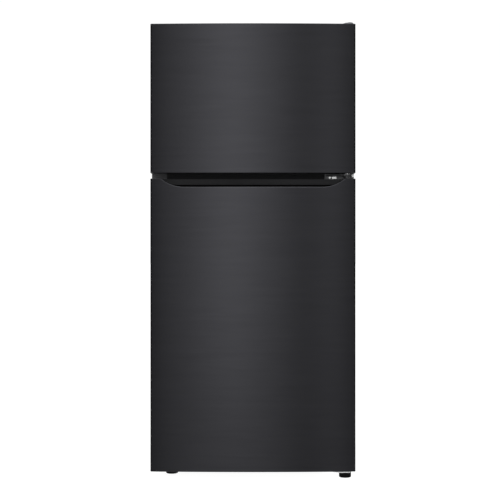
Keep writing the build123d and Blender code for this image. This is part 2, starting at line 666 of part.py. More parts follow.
# Dairy box near the top of the fridge door, closed by a clear lid.
DAIRY_Z0, DAIRY_Z1, DAIRY_Y = 930.0, 1040.0, -258.0
with BuildPart() as dairy_bin:
    block(-281.5, 281.5, -340.5, DAIRY_Y, DAIRY_Z0, DAIRY_Z1)
    block(-278.5, 278.5, -337.5, DAIRY_Y + 1, DAIRY_Z0 + 3, DAIRY_Z1 - 3, Mode.SUBTRACT)
    block(-278.5, 278.5, DAIRY_Y - 18, DAIRY_Y + 1, DAIRY_Z1 - 4, DAIRY_Z1 + 1, Mode.SUBTRACT)
    block(-278.5, 278.5, DAIRY_Y - 3, DAIRY_Y, DAIRY_Z0 + 3, DAIRY_Z0 + 30)
    for s in (-1, 1):
        xa, xb = sorted((s * 264, s * 278.5))
        rod_x(DAIRY_Y - 7, DAIRY_Z1 - 9, xa, xb, 2.5)
save("dairy_bin", dairy_bin)

# The lid hangs from two stub pins and swings up.
LID_Y, LID_Z = DAIRY_Y - 7, DAIRY_Z1 - 9
with BuildPart() as dairy_lid:
    with BuildSketch(Plane.YZ.offset(-274)) as lid:
        with BuildLine():
            Polyline(
                (LID_Y - 4.5, LID_Z + 4.5),
                (DAIRY_Y - 0.6, LID_Z + 4.5),
                (DAIRY_Y + 3, LID_Z - 6),
                (DAIRY_Y + 3, DAIRY_Z0 + 22),
                (DAIRY_Y + 7, DAIRY_Z0 + 14),
                (DAIRY_Y + 4.6, DAIRY_Z0 + 13),
                (DAIRY_Y + 0.6, DAIRY_Z0 + 21),
                (DAIRY_Y + 0.6, LID_Z - 6),
                (DAIRY_Y - 2.5, LID_Z - 4.5),
                (LID_Y - 4.5, LID_Z - 4.5),
                close=True,
            )
        make_face()
    extrude(lid.sketch, amount=548)
    rod_x(LID_Y, LID_Z, -275, 275, 2.56, Mode.SUBTRACT)
    block(-262, 262, LID_Y - 6, DAIRY_Y - 1.6, LID_Z - 6, LID_Z + 2.2, Mode.SUBTRACT)
save("dairy_lid", dairy_lid)

# =============================================================================
# Fridge compartment
# =============================================================================
SHELF_Z = (584.6, 824.6)
SHELF_X, SHELF_Y0, SHELF_Y1 = 316.0, -204.0, 314.0
frames = []
for z in SHELF_Z:
    with BuildPart() as ring:
        with BuildSketch(Plane.XY.offset(z - 2.4)) as outline:
            with Locations((0, (SHELF_Y0 + SHELF_Y1) / 2)):
                RectangleRounded(2 * SHELF_X, SHELF_Y1 - SHELF_Y0, 10)
                RectangleRounded(2 * SHELF_X - 46, SHELF_Y1 - SHELF_Y0 - 40, 0.5, mode=Mode.SUBTRACT)
        extrude(outline.sketch, amount=15)
        fillet(ring.edges().group_by(Axis.Z)[-1].filter_by(lambda e: abs(e.center().X) > SHELF_X - 6 or e.center().Y < SHELF_Y0 + 6 or e.center().Y > SHELF_Y1 - 6), radius=1.5)
        block(-SHELF_X + 17, SHELF_X - 17, SHELF_Y0 + 13, SHELF_Y1 - 14, z + 8, z + 14, Mode.SUBTRACT)
        block(-SHELF_X + 12, SHELF_X - 12, SHELF_Y0, SHELF_Y0 + 5, z - 14, z + 2)
    # Front, rear and side bars of one moulded frame.
    for x0, x1, y0, y1 in (
        (-SHELF_X - 1, SHELF_X + 1, SHELF_Y0 - 1, SHELF_Y0 + 20),
        (-SHELF_X - 1, SHELF_X + 1, SHELF_Y1 - 20, SHELF_Y1 + 1),
        (-SHELF_X - 1, -SHELF_X + 24, SHELF_Y0 + 20, SHELF_Y1 - 20),
        (SHELF_X - 24, SHELF_X + 1, SHELF_Y0 + 20, SHELF_Y1 - 20),
    ):
        with BuildPart() as bar:
            add(ring.part)
            block(x0, x1, y0, y1, z - 20, z + 20, Mode.INTERSECT)
        frames += [s for s in bar.part.solids()]
export_step(Compound(children=frames, label="shelf_frames"), "parts/shelf_frames.step")

COVER_Z = 364.0
with BuildPart() as shelf_glass:
    for z in SHELF_Z:
        block(-SHELF_X + 18, SHELF_X - 18, SHELF_Y0 + 14, SHELF_Y1 - 15, z + 8.2, z + 12.2)
    block(-298, 298, -190, 92, COVER_Z - 4.8, COVER_Z - 0.8)
    fillet(shelf_glass.edges().filter_by(Axis.Z), radius=3)
save("shelf_glass", shelf_glass)

# Cover over the two drawers, with the divider and side runners they slide in.
with BuildPart() as crisper_cover:
    block(-318, 318, -207, 106, COVER_Z - 18, COVER_Z)
    block(-298.5, 298.5, -190.5, 92.5, COVER_Z - 5, COVER_Z + 1, Mode.SUBTRACT)
    block(-280, 280, -170, 72, COVER_Z - 19, COVER_Z, Mode.SUBTRACT)
    block(-3.5, 3.5, -200, 100, 121, COVER_Z - 5)
    for s in (-1, 1):
        xa, xb = sorted((s * 286, s * 319))
        block(xa, xb, -200, 100, 288, COVER_Z - 18)
        xa, xb = sorted((s * 300, s * 319))
        block(xa, xb, -200, 100, 121, 288)
save("crisper_cover", crisper_cover)

DRAWER_FRONT, DRAWER_BACK = -212.0, 98.0
DRAWER_Z0, DRAWER_Z1 = 123.0, 341.0
for node, s in (("left_crisper", -1), ("right_crisper", 1)):
    # Clear drawer: tapered tub with a thicker front that carries a pull lip.
    with BuildPart() as drawer:
        xa, xb = sorted((s * 7.0, s * 282.0))
        block(xa, xb, DRAWER_FRONT + 4, DRAWER_BACK, DRAWER_Z0, DRAWER_Z1 - 14)
        fillet(drawer.edges().filter_by(Axis.Z).group_by(Axis.Y)[-1], radius=14)
        fillet(drawer.edges().group_by(Axis.Z)[0], radius=6)
        with BuildSketch(Plane.XY.offset(DRAWER_Z0 + 3)) as tub:
            with Locations(((xa + xb) / 2, (DRAWER_FRONT + 4 + DRAWER_BACK) / 2)):
                RectangleRounded(xb - xa - 6, DRAWER_BACK - DRAWER_FRONT - 10, 10)
        extrude(tub.sketch, amount=300, mode=Mode.SUBTRACT)
        block(xa, xb, DRAWER_FRONT, DRAWER_FRONT + 4, DRAWER_Z0, DRAWER_Z1)
        block(xa + 8, xb - 8, DRAWER_FRONT, DRAWER_FRONT + 22, DRAWER_Z1 - 3, DRAWER_Z1)
        block(xa + 8, xb - 8, DRAWER_FRONT + 19, DRAWER_FRONT + 22, DRAWER_Z1 - 12, DRAWER_Z1 - 3)
    save(node, drawer)

# Cold air duct up the rear wall, with outlet slots.
with BuildPart() as duct_front:
    block(-115, 115, 320, 327.2, 430, 1045)
    fillet(duct_front.edges().group_by(Axis.Y)[0], radius=7)
    block(-56, 56, 323, 328, 1006, 1038, Mode.SUBTRACT)
    for z in (500, 640, 760, 900):
        for x in (-60, 60):
            block(x - 32, x + 32, 318, 328, z - 5, z + 5, Mode.SUBTRACT)
            block(x - 32, x + 32, 318, 328, z + 12, z + 22, Mode.SUBTRACT)
duct = [s for s in duct_front.part.solids()]
for x0, x1, z0, z1 in ((-115, -112, 430, 1045), (112, 115, 430, 1045), (-112, 112, 430, 433)):
    with BuildPart() as wall:
        block(x0, x1, 327.2, 344.7, z0, z1)
    duct += [s for s in wall.part.solids()]
for s in (-1, 1):
    with BuildPart() as lug:
        xa, xb = sorted((s * 58, s * 62))
        block(xa, xb, 327.2, 344.7, 1012, 1032)
        xa, xb = sorted((s * 54, s * 58))
        rod_x(334, 1022, xa, xb, 2)
    duct += [s for s in lug.part.solids()]
export_step(Compound(children=duct, label="air_duct_panel"), "parts/air_duct_panel.step")

# Flap that shuts the air passage; it turns on two stub pins.
with BuildPart() as damper_flap:
    block(-52, 52, 333, 335, 1013, 1031)
    rod_x(334, 1022, -57.6, 57.6, 3.4)
    rod_x(334, 1022, -59, -53, 2.06, Mode.SUBTRACT)
    rod_x(334, 1022, 53, 59, 2.06, Mode.SUBTRACT)
save("damper_flap", damper_flap)

# Control box under the fridge ceiling, and the door switch beside it.
with BuildPart() as control_housing:
    block(-165, 165, -150, -20, 1042, 1081.6)
    fillet(control_housing.edges().filter_by(Axis.X).group_by(Axis.Z)[0], radius=9)
    block(-162, 162, -147, -23, 1045, 1082, Mode.SUBTRACT)
    block(-135, -5, -136, -46, 1040, 1046, Mode.SUBTRACT)
    rod_y(95, 1063, -151, -146, 3.08, Mode.SUBTRACT)
    block(232, 260, -280, -236, 1058, 1081.6)
    rod_y(246, 1068, -281, -240, 4.4, Mode.SUBTRACT)
    rod_y(246, 1068, -270, -240, 6.2, Mode.SUBTRACT)
save("control_housing", control_housing)

with BuildPart() as light_lens:
    block(-134.6, -5.4, -135.6, -46.4, 1040.5, 1045)
    fillet(light_lens.edges().group_by(Axis.Z)[0], radius=2)
    block(-138, -2, -139, -43, 1045, 1047)
save("light_lens", light_lens)

# Temperature dial on the front of the control box.
with BuildPart() as fridge_knob:
    rod_y(95, 1063, -166, -150.5, 14.5)
    fillet(fridge_knob.edges().group_by(Axis.Y)[0], radius=2)
    block(93.6, 96.4, -168, -164.4, 1064, 1080, Mode.SUBTRACT)
    with BuildSketch(Plane.XZ.offset(152)) as flutes:
        with Locations((95, 1063)):
            with PolarLocations(15.6, 14):
                Circle(1.8)
    extrude(flutes.sketch, amount=20, mode=Mode.SUBTRACT)
    rod_y(95, 1063, -152, -146.8, 3.0)
    rod_y(95, 1063, -146.8, -144, 5)
save("fridge_knob", fridge_knob)

# Plunger of the light switch; a collar keeps it in its housing.
with BuildPart() as light_switch_plunger:
    rod_y(246, 1068, -289.4, -242, 4.0)
    fillet(light_switch_plunger.edges().group_by(Axis.Y)[0], radius=1.6)
    rod_y(246, 1068, -262, -258, 5.8)
save("light_switch_plunger", light_switch_plunger)

# =============================================================================
# Freezer compartment
# =============================================================================
EVAP_Y = 236.0
FAN_Z = 1500.0
with BuildPart() as evaporator_cover:
    block(-319, 319, EVAP_Y, EVAP_Y + 3, FRZ_Z0 + 0.8, FRZ_Z1 - 0.8)
    fillet(evaporator_cover.edges().filter_by(Axis.Y), radius=CORNER_R)
    block(-90, 90, EVAP_Y - 8, EVAP_Y, FAN_Z - 75, FAN_Z + 75)
    fillet(evaporator_cover.edges().group_by(Axis.Y)[0], radius=5)
    block(-86, 86, EVAP_Y - 5, EVAP_Y + 4, FAN_Z - 71, FAN_Z + 71, Mode.SUBTRACT)
    for i in range(9):
        z = FAN_Z - 52 + 13 * i
        half = math.sqrt(max(60.0**2 - (z - FAN_Z) ** 2, 900))
        block(-half, half, EVAP_Y - 9, EVAP_Y, z - 3, z + 3, Mode.SUBTRACT)
    for i in range(12):
        x = -242 + 44 * i
        block(x - 16, x + 16, EVAP_Y - 1, EVAP_Y + 4, FRZ_Z0 + 14, FRZ_Z0 + 24, Mode.SUBTRACT)
    rod_y(215, 1540, EVAP_Y - 1, EVAP_Y + 4, 3.08, Mode.SUBTRACT)
save("evaporator_cover", evaporator_cover)

with BuildPart() as freezer_knob:
    rod_y(215, 1540, 218, EVAP_Y - 0.5, 20)
    fillet(freezer_knob.edges().group_by(Axis.Y)[0], radius=2.5)
    block(213.4, 216.6, 216, 220, 1540, 1562, Mode.SUBTRACT)
    with BuildSketch(Plane.XZ.offset(-234)) as flutes:
        with Locations((215, 1540)):
            with PolarLocations(21.4, 18):
                Circle(2.2)
    extrude(flutes.sketch, amount=20, mode=Mode.SUBTRACT)
    rod_y(215, 1540, 235, EVAP_Y + 4, 3.0)
    rod_y(215, 1540, EVAP_Y + 3.6, EVAP_Y + 6, 5.5)
save("freezer_knob", freezer_knob)

# Finned coil, its end plates, and the defrost heater clipped below it.
with BuildPart() as evaporator:
    for i in range(21):
        x = -240 + 24 * i
        block(x - 0.5, x + 0.5, 262, 332, 1190, 1400)
    for z in (1210, 1250, 1290, 1330, 1370):
        for y in (280, 314):
            rod_x(y, z, -262, 262, 4)
    for x in (-262, 256):
        block(x, x + 6, 272, 322, 1196, 1394)
with BuildPart() as heater:
    rod_x(297, 1172, -240, 240, 5)
coil = Compound(children=[s for s in evaporator.part.solids()] + [s for s in heater.part.solids()], label="evaporator")
export_step(coil, "parts/evaporator.step")

with BuildPart() as evaporator_fan_motor:
    rod_y(0, FAN_Z, 282, 318, 26)
    fillet(evaporator_fan_motor.edges().group_by(Axis.Y)[0], radius=4)
    rod_y(0, FAN_Z, 258, 284, 2.5)
    block(-70, 70, 318, 321, FAN_Z - 9, FAN_Z + 9)
    for x in (-70, 64):
        block(x, x + 6, 318, 344.8, FAN_Z - 9, FAN_Z + 9)
save("evaporator_fan_motor", evaporator_fan_motor)


def fan(n, r_tip, r_hub, bore, depth):
    """Axial fan turning about +Z at the origin: a hub and n pitched blades."""
    with BuildPart() as p:
        rod_z(0, 0, 0, depth, r_hub)
        for i in range(n):
            a = 360 * i / n
            tilt = Plane(origin=(0, 0, depth / 2), x_dir=(math.cos(math.radians(a)), math.sin(math.radians(a)), 0), z_dir=(-math.sin(math.radians(a)) * math.sin(math.radians(32)), math.cos(math.radians(a)) * math.sin(math.radians(32)), math.cos(math.radians(32))))
            with BuildSketch(tilt) as blade:
                with BuildLine():
                    Polyline((r_hub - 3, -r_hub * 0.5), (r_tip * 0.9, -r_tip * 0.42), (r_tip * 0.985, 0), (r_tip * 0.88, r_tip * 0.3), (r_hub - 3, r_hub * 0.5), close=True)
                make_face()
                fillet(blade.vertices().sort_by(Axis.X)[-3:], radius=r_tip * 0.12)
            extrude(blade.sketch, amount=0.9, both=True)
        rod_z(0, 0, -1, depth + 1, bore, Mode.SUBTRACT)
    return p.part


evap_blade = Plane(origin=(0, 280, FAN_Z), x_dir=(1, 0, 0), z_dir=(0, -1, 0)).location * fan(5, 55, 15, 2.56, 14)
evap_blade.label = "evaporator_fan_blade"
export_step(evap_blade, "parts/evaporator_fan_blade.step")

# Wire shelf: thin rods resting across thicker ones.
with BuildPart() as freezer_shelf:
    for y in (-182, -60, 80, 212):
        rod_x(y, 1383, -318.5, 318.5, 3)
    for i in range(23):
        x = -308 + 28 * i
        rod_y(x, 1387, -190, 218, 1.8)
    block(-318.5, 318.5, -193, -189, 1375, 1390)
save("freezer_shelf", freezer_shelf)

with BuildPart() as ice_bin:
    block(-305, -130, -160, 110, 1155.2, 1290)
    fillet(ice_bin.edges().filter_by(Axis.Z), radius=16)
    fillet(ice_bin.edges().group_by(Axis.Z)[0], radius=5)
    with BuildSketch(Plane.XY.offset(1158.4)) as hollow:
        with Locations((-217.5, -25)):
            RectangleRounded(169, 264, 13)
    extrude(hollow.sketch, amount=200, mode=Mode.SUBTRACT)
save("ice_bin", ice_bin)

# =============================================================================
# Machine compartment
# =============================================================================
COMP_X, COMP_Y = -215.0, 285.0
with BuildPart() as compressor:
    rod_z(COMP_X, COMP_Y, 70, 222, 74)
    fillet(compressor.edges().group_by(Axis.Z)[0], radius=22)
    fillet(compressor.edges().group_by(Axis.Z)[-1], radius=34)
    rod_z(COMP_X, COMP_Y, 142, 150, 77)
    block(COMP_X - 92, COMP_X + 92, COMP_Y - 62, COMP_Y + 62, 66, 70)
    for dx in (-80, 80):
        for dy in (-50, 50):
            rod_z(COMP_X + dx, COMP_Y + dy, 51.6, 72, 9)
    block(COMP_X + 60, COMP_X + 98, COMP_Y - 34, COMP_Y + 34, 108, 176)
save("compressor", compressor)

# Tube-and-fin condenser in front of the fan.
with BuildPart() as condenser:
    for z in (112, 148, 184, 220, 256):
        for y in (210, 246, 282):
            rod_x(y, z, 92, 330, 4)
    for i in range(13):
        x = 104 + 18 * i
        block(x - 0.5, x + 0.5, 194, 298, 96, 272)
    for x in (92, 326):
        block(x, x + 3, 190, 302, 90, 278)
save("condenser", condenser)

with BuildPart() as fan_shroud:
    side_profile([(180, 52), (392, 52), (392, 322), (208, 322), (180, 296)], 60, 64)
    rod_x(285, 178, 58, 66, 82, Mode.SUBTRACT)
    rod_x(285, 178, 52, 68, 90)
    rod_x(285, 178, 50, 70, 82, Mode.SUBTRACT)
save("fan_shroud", fan_shroud)

with BuildPart() as condenser_fan_motor:
    rod_x(285, 178, 4, 34, 30)
    rod_x(285, 178, 34, 58, 3)
    for z in (178 - 89, 178 + 83):
        block(10, 52, 279, 291, z, z + 6)
    block(4, 10, 279, 291, 89, 267)
save("condenser_fan_motor", condenser_fan_motor)

cond_blade = Plane(origin=(40, 285, 178), x_dir=(0, 1, 0), z_dir=(1, 0, 0)).location * fan(5, 76, 20, 3.06, 18)
cond_blade.label = "condenser_fan_blade"
export_step(cond_blade, "parts/condenser_fan_blade.step")

with BuildPart() as drain_pan:
    block(80, 350, 178, 388, 51.8, 82)
    fillet(drain_pan.edges().filter_by(Axis.Z), radius=12)
    with BuildSketch(Plane.XY.offset(54)) as inner:
        with Locations((215, 283)):
            RectangleRounded(266, 206, 10)
    extrude(inner.sketch, amount=60, mode=Mode.SUBTRACT)
save("drain_pan", drain_pan)


def tube(points, radii, r):
    """A round tube of radius r along straight runs joined by tangent arcs."""
    with BuildPart() as p:
        with BuildLine() as path:
            FilletPolyline(*points, radius=radii)
        with BuildSketch(Plane(origin=path.line @ 0, z_dir=path.line % 0)):
            Circle(r)
        sweep()
    return [s for s in p.part.solids()]


# Suction and discharge lines, and the filter drier.
pipes = tube(
    [
        (COMP_X, COMP_Y - 74, 180),
        (COMP_X, 186, 180),
        (COMP_X, 186, 285),
        (-40, 186, 285),
        (-40, 230, 285),
        (-40, 230, 332.5),
    ],
    [11, 30, 19, 19],
    4,
)
pipes += tube(
    [
        (COMP_X, COMP_Y + 74, 130),
        (COMP_X, 380, 130),
        (COMP_X, 380, 92),
        (40, 380, 92),
        (40, 380, 54),
    ],
    [9, 17, 16],
    3,
)
with BuildPart() as drier:
    rod_z(-60, 372, 120, 230, 9)
    fillet(drier.edges().filter_by(GeomType.CIRCLE), radius=4)
    rod_z(-60, 372, 104, 246, 2.5)
pipes += [s for s in drier.part.solids()]
export_step(Compound(children=pipes, label="refrigerant_pipes"), "parts/refrigerant_pipes.step")

# Slotted rear cover of the machine compartment, with the gland for the cord.
with BuildPart() as machine_cover:
    block(-HALF_W + 2, HALF_W - 2, Y_REAR, Y_BACK, 62, MACH_Z - 1)
    with BuildSketch(Plane.XZ.offset(-Y_BACK - 1)) as slots:
        for row in range(9):
            for col in range(18):
                with Locations((-306 + 36 * col, 112 + 22 * row)):
                    SlotOverall(28, 7)
    extrude(slots.sketch, amount=4, mode=Mode.SUBTRACT)
    rod_y(-345, 84, Y_REAR - 1, Y_BACK + 1, 8.2, Mode.SUBTRACT)
save("machine_cover", machine_cover)

with BuildPart() as cord_gland:
    rod_y(-345, 84, Y_REAR - 5, Y_BACK, 8.1)
    rod_y(-345, 84, Y_REAR - 5, Y_REAR, 11)
    rod_y(-345, 84, Y_REAR - 6, Y_BACK + 1, 4.2, Mode.SUBTRACT)
save("cord_gland", cord_gland)
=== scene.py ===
import json
import math

import bmesh
import bpy
from mathutils import Matrix, Vector


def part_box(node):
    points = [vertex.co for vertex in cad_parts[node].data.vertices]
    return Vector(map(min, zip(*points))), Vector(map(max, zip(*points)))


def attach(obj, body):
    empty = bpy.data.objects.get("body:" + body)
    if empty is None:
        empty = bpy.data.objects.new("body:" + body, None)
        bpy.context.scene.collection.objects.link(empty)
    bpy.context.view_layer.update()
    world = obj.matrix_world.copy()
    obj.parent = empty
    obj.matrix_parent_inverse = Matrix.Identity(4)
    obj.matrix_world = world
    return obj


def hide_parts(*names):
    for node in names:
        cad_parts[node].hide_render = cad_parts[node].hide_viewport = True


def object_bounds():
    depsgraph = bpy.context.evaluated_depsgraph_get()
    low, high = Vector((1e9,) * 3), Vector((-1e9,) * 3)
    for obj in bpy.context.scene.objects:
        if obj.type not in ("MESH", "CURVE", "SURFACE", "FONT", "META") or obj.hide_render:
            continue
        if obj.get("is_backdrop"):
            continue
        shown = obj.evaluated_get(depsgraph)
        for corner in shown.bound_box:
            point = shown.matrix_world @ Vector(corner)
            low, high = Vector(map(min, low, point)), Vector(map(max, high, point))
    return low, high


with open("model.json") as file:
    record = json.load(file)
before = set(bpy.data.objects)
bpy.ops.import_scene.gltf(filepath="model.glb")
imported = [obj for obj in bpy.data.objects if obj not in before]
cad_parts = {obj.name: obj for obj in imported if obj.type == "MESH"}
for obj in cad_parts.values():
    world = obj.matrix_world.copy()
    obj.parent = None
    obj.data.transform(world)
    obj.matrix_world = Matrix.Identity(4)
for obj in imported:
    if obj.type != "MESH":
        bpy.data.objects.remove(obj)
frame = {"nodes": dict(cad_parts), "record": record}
cad_lo, cad_hi = (tuple(v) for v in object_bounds())
nodes = frame["nodes"]

# =============================================================================
# Sizes taken from the frame, in metres
# =============================================================================
FRZ_LO, FRZ_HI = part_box("freezer_door_skin")
FRG_LO, FRG_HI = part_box("fridge_door_skin")
HALF_W = FRZ_HI[0]
Y_APEX = cad_lo[1]
CROWN_R = 7.672
EDGE_R, HEM_R = 0.006, 0.003
DOOR_BACK = -0.3428
FLANGE_X = 0.362
POCKET_FLAT, POCKET_HALF, POCKET_Z = 0.255, 0.338, 1.077
FRG_TOP = FRG_HI[2]
POCKET_R = ((POCKET_HALF - POCKET_FLAT) ** 2 + (FRG_TOP - POCKET_Z) ** 2) / (2 * (FRG_TOP - POCKET_Z))


# =============================================================================
# Material building blocks. All patterns are in object space, in metres.
# =============================================================================
class Mat:
    def __init__(self, name):
        self.m = bpy.data.materials.new(name)
        self.m.use_nodes = True
        self.nt = self.m.node_tree
        self.bsdf = self.nt.nodes["Principled BSDF"]
        self.co = self.nt.nodes.new("ShaderNodeTexCoord").outputs["Object"]

    def node(self, kind, **props):
        n = self.nt.nodes.new(kind)
        for k, v in props.items():
            setattr(n, k, v)
        return n

    def link(self, a, b):
        self.nt.links.new(a, b)

    def space(self, scale=(1, 1, 1), rot=(0, 0, 0)):
        n = self.node("ShaderNodeMapping")
        n.inputs["Scale"].default_value = scale
        n.inputs["Rotation"].default_value = rot
        self.link(self.co, n.inputs["Vector"])
        return n.outputs["Vector"]

    def noise(self, scale, stretch=(1, 1, 1), detail=3.0, rough=0.5):
        n = self.node("ShaderNodeTexNoise")
        n.inputs["Scale"].default_value = scale
        n.inputs["Detail"].default_value = detail
        n.inputs["Roughness"].default_value = rough
        self.link(self.space(stretch), n.inputs["Vector"])
        return n.outputs["Fac"]

    def voronoi(self, scale, stretch=(1, 1, 1), feature="F1"):
        n = self.node("ShaderNodeTexVoronoi", feature=feature)
        n.inputs["Scale"].default_value = scale
        self.link(self.space(stretch), n.inputs["Vector"])
        return n.outputs["Distance"]

    def maths(self, op, a, b=None, clamp=False):
        n = self.node("ShaderNodeMath", operation=op, use_clamp=clamp)
        for i, v in enumerate((a, b)):
            if v is None:
                continue
            if isinstance(v, (int, float)):
                n.inputs[i].default_value = v
            else:
                self.link(v, n.inputs[i])
        return n.outputs[0]

    def ramp(self, fac, lo, hi, a=0.0, b=1.0):
        """Maps a..b of fac to lo..hi."""
        n = self.node("ShaderNodeMapRange")
        n.inputs["From Min"].default_value = a
        n.inputs["From Max"].default_value = b
        n.inputs["To Min"].default_value = lo
        n.inputs["To Max"].default_value = hi
        self.link(fac, n.inputs["Value"])
        return n.outputs["Result"]

    def mix(self, fac, c0, c1):
        n = self.node("ShaderNodeMix", data_type="RGBA")
        if isinstance(fac, (int, float)):
            n.inputs["Factor"].default_value = fac
        else:
            self.link(fac, n.inputs["Factor"])
        for sock, c in (("A", c0), ("B", c1)):
            s = [i for i in n.inputs if i.name == sock and i.type == "RGBA"][0]
            if isinstance(c, (tuple, list)):
                s.default_value = (*c, 1.0) if len(c) == 3 else c
            else:
                self.link(c, s)
        return [o for o in n.outputs if o.type == "RGBA"][0]

    def colour(self, value):
        if isinstance(value, (tuple, list)):
            self.bsdf.inputs["Base Color"].default_value = (*value, 1.0)
        else:
            self.link(value, self.bsdf.inputs["Base Color"])

    def set(self, **kw):
        names = {
            "rough": "Roughness",
            "metal": "Metallic",
            "ior": "IOR",
            "spec": "Specular IOR Level",
            "coat": "Coat Weight",
            "coat_rough": "Coat Roughness",
            "trans": "Transmission Weight",
            "aniso": "Anisotropic",
            "aniso_rot": "Anisotropic Rotation",
            "sss": "Subsurface Weight",
            "sss_scale": "Subsurface Scale",
            "alpha": "Alpha",
            "emit": "Emission Strength",
        }
        for k, v in kw.items():
            s = self.bsdf.inputs[names[k]]
            if isinstance(v, (int, float)):
                s.default_value = v
            else:
                self.link(v, s)

    def bump(self, height, strength, distance):
        n = self.node("ShaderNodeBump")
        n.inputs["Strength"].default_value = strength
        n.inputs["Distance"].default_value = distance
        self.link(height, n.inputs["Height"])
        last = getattr(self, "_bump", None)
        if last is not None:
            self.link(last, n.inputs["Normal"])
        self._bump = n.outputs["Normal"]
        self.link(self._bump, self.bsdf.inputs["Normal"])


def black_stainless():
    m = Mat("black_stainless")
    # long fine horizontal scratches: slow along X and Y, quick along Z
    grain = m.noise(1.0, (9, 9, 1500), 4.0, 0.62)
    streak = m.noise(1.0, (6.0, 6.0, 165), 3.0, 0.6)
    cloud = m.noise(2.2, (1, 1, 0.6), 2.0, 0.5)
    g = m.maths("ADD", m.ramp(grain, -0.4, 0.4, 0.3, 0.7), m.ramp(streak, -0.45, 0.45, 0.3, 0.7))
    fac = m.maths("ADD", m.maths("MULTIPLY", g, 0.42), 0.5, True)
    m.colour(m.mix(fac, (0.0375, 0.0372, 0.0407), (0.0525, 0.0522, 0.0569)))
    m.set(metal=1.0, aniso=0.85, aniso_rot=0.25)
    m.set(rough=m.maths("ADD", m.ramp(grain, 0.165, 0.205, 0.3, 0.7), m.ramp(cloud, -0.008, 0.008, 0.3, 0.7)))
    tan = m.node("ShaderNodeTangent", direction_type="RADIAL", axis="Z")
    m.link(tan.outputs[0], m.bsdf.inputs["Tangent"])
    m.bump(grain, 0.06, 0.00010)
    return m.m


def cabinet_paint():
    m = Mat("cabinet_paint")
    stipple = m.noise(520, (1, 1, 1), 2.0, 0.6)
    soft = m.noise(3.0, (1, 1, 1), 2.0)
    m.colour(m.mix(m.ramp(stipple, 0, 1, 0.35, 0.68), (0.030, 0.030, 0.0325), (0.041, 0.041, 0.044)))
    m.set(rough=m.maths("ADD", m.ramp(stipple, 0.36, 0.46, 0.3, 0.7), m.ramp(soft, -0.02, 0.02, 0.3, 0.7)), spec=0.45)
    m.bump(stipple, 0.35, 0.0004)
    return m.m


def mullion_painted_shade():
    # painted shade: a far darker copy of cabinet_paint, standing in for the shade in the gap between the doors
    m = Mat("mullion_painted_shade")
    stipple = m.noise(520, (1, 1, 1), 2.0, 0.6)
    m.colour(m.mix(m.ramp(stipple, 0, 1, 0.35, 0.68), (0.010, 0.010, 0.011), (0.016, 0.016, 0.017)))
    m.set(rough=m.ramp(stipple, 0.55, 0.68, 0.3, 0.7), spec=0.12)
    m.bump(stipple, 0.35, 0.0004)
    return m.m


def cover_painted_highlight():
    m = Mat("cover_painted_highlight")
    # painted highlight: a lighter grey than the cover's own black plastic, for the light its top catches from above
    fine = m.noise(900, (1, 1, 1), 2.0)
    slow = m.noise(8, (1, 1, 1), 3.0)
    m.colour(m.mix(m.ramp(slow, 0, 1, 0.3, 0.7), (0.085, 0.086, 0.09), (0.11, 0.111, 0.115)))
    m.set(rough=m.ramp(fine, 0.34, 0.44, 0.3, 0.7), spec=0.5)
    m.bump(fine, 0.15, 0.00025)
    return m.m


def zinc_plate():
    m = Mat("zinc_plate")
    n = m.noise(60, (1, 1, 1), 4.0)
    brushed = m.noise(1.0, (60, 500, 500), 2.0)
    m.colour(m.mix(m.ramp(n, 0, 1, 0.35, 0.7), (0.56, 0.565, 0.57), (0.66, 0.665, 0.67)))
    m.set(metal=0.15, rough=m.ramp(brushed, 0.3, 0.42, 0.3, 0.7))
    m.bump(brushed, 0.06, 0.0002)
    return m.m


def galvanised():
    m = Mat("galvanised")
    # zinc spangle: small crystal cells of slightly different brightness
    v = m.node("ShaderNodeTexVoronoi", feature="F1")
    v.inputs["Scale"].default_value = 115
    v.inputs["Randomness"].default_value = 1.0
    m.link(m.space((1, 1, 1)), v.inputs["Vector"])
    sepc = m.node("ShaderNodeSeparateColor")
    m.link(v.outputs["Color"], sepc.inputs[0])
    cell = sepc.outputs[0]
    soft = m.noise(2.2, (1, 1, 1), 2.0)
    fac = m.maths("ADD", m.ramp(cell, 0.30, 0.62), m.ramp(soft, -0.08, 0.08, 0.3, 0.7), True)
    m.colour(m.mix(fac, (0.43, 0.44, 0.452), (0.56, 0.568, 0.575)))
    m.set(metal=0.9, rough=m.ramp(cell, 0.36, 0.44))
    m.bump(soft, 0.03, 0.002)
    return m.m


def black_steel():
    m = Mat("black_steel")
    n = m.noise(40, (1, 1, 1), 4.0)
    m.colour(m.mix(m.ramp(n, 0, 1, 0.35, 0.7), (0.012, 0.012, 0.013), (0.024, 0.024, 0.025)))
    m.set(rough=m.ramp(n, 0.28, 0.42, 0.3, 0.7), coat=0.2, coat_rough=0.25)
    m.bump(n, 0.08, 0.0004)
    return m.m


def hinge_steel():
    m = Mat("hinge_steel")
    n = m.noise(70, (1, 1, 1), 4.0)
    brushed = m.noise(1.0, (40, 900, 900), 2.0)
    m.colour(m.mix(m.ramp(n, 0, 1, 0.35, 0.7), (0.085, 0.085, 0.088), (0.135, 0.135, 0.138)))
    m.set(metal=0.85, rough=m.ramp(brushed, 0.28, 0.42, 0.3, 0.7))
    m.bump(brushed, 0.08, 0.0002)
    return m.m


def bright_screw():
    m = Mat("bright_screw")
    n = m.noise(300, (1, 1, 1), 3.0)
    m.colour(m.mix(n, (0.66, 0.66, 0.65), (0.8, 0.8, 0.79)))
    m.set(metal=1.0, rough=m.ramp(n, 0.18, 0.3, 0.3, 0.7))
    m.bump(n, 0.05, 0.0002)
    return m.m


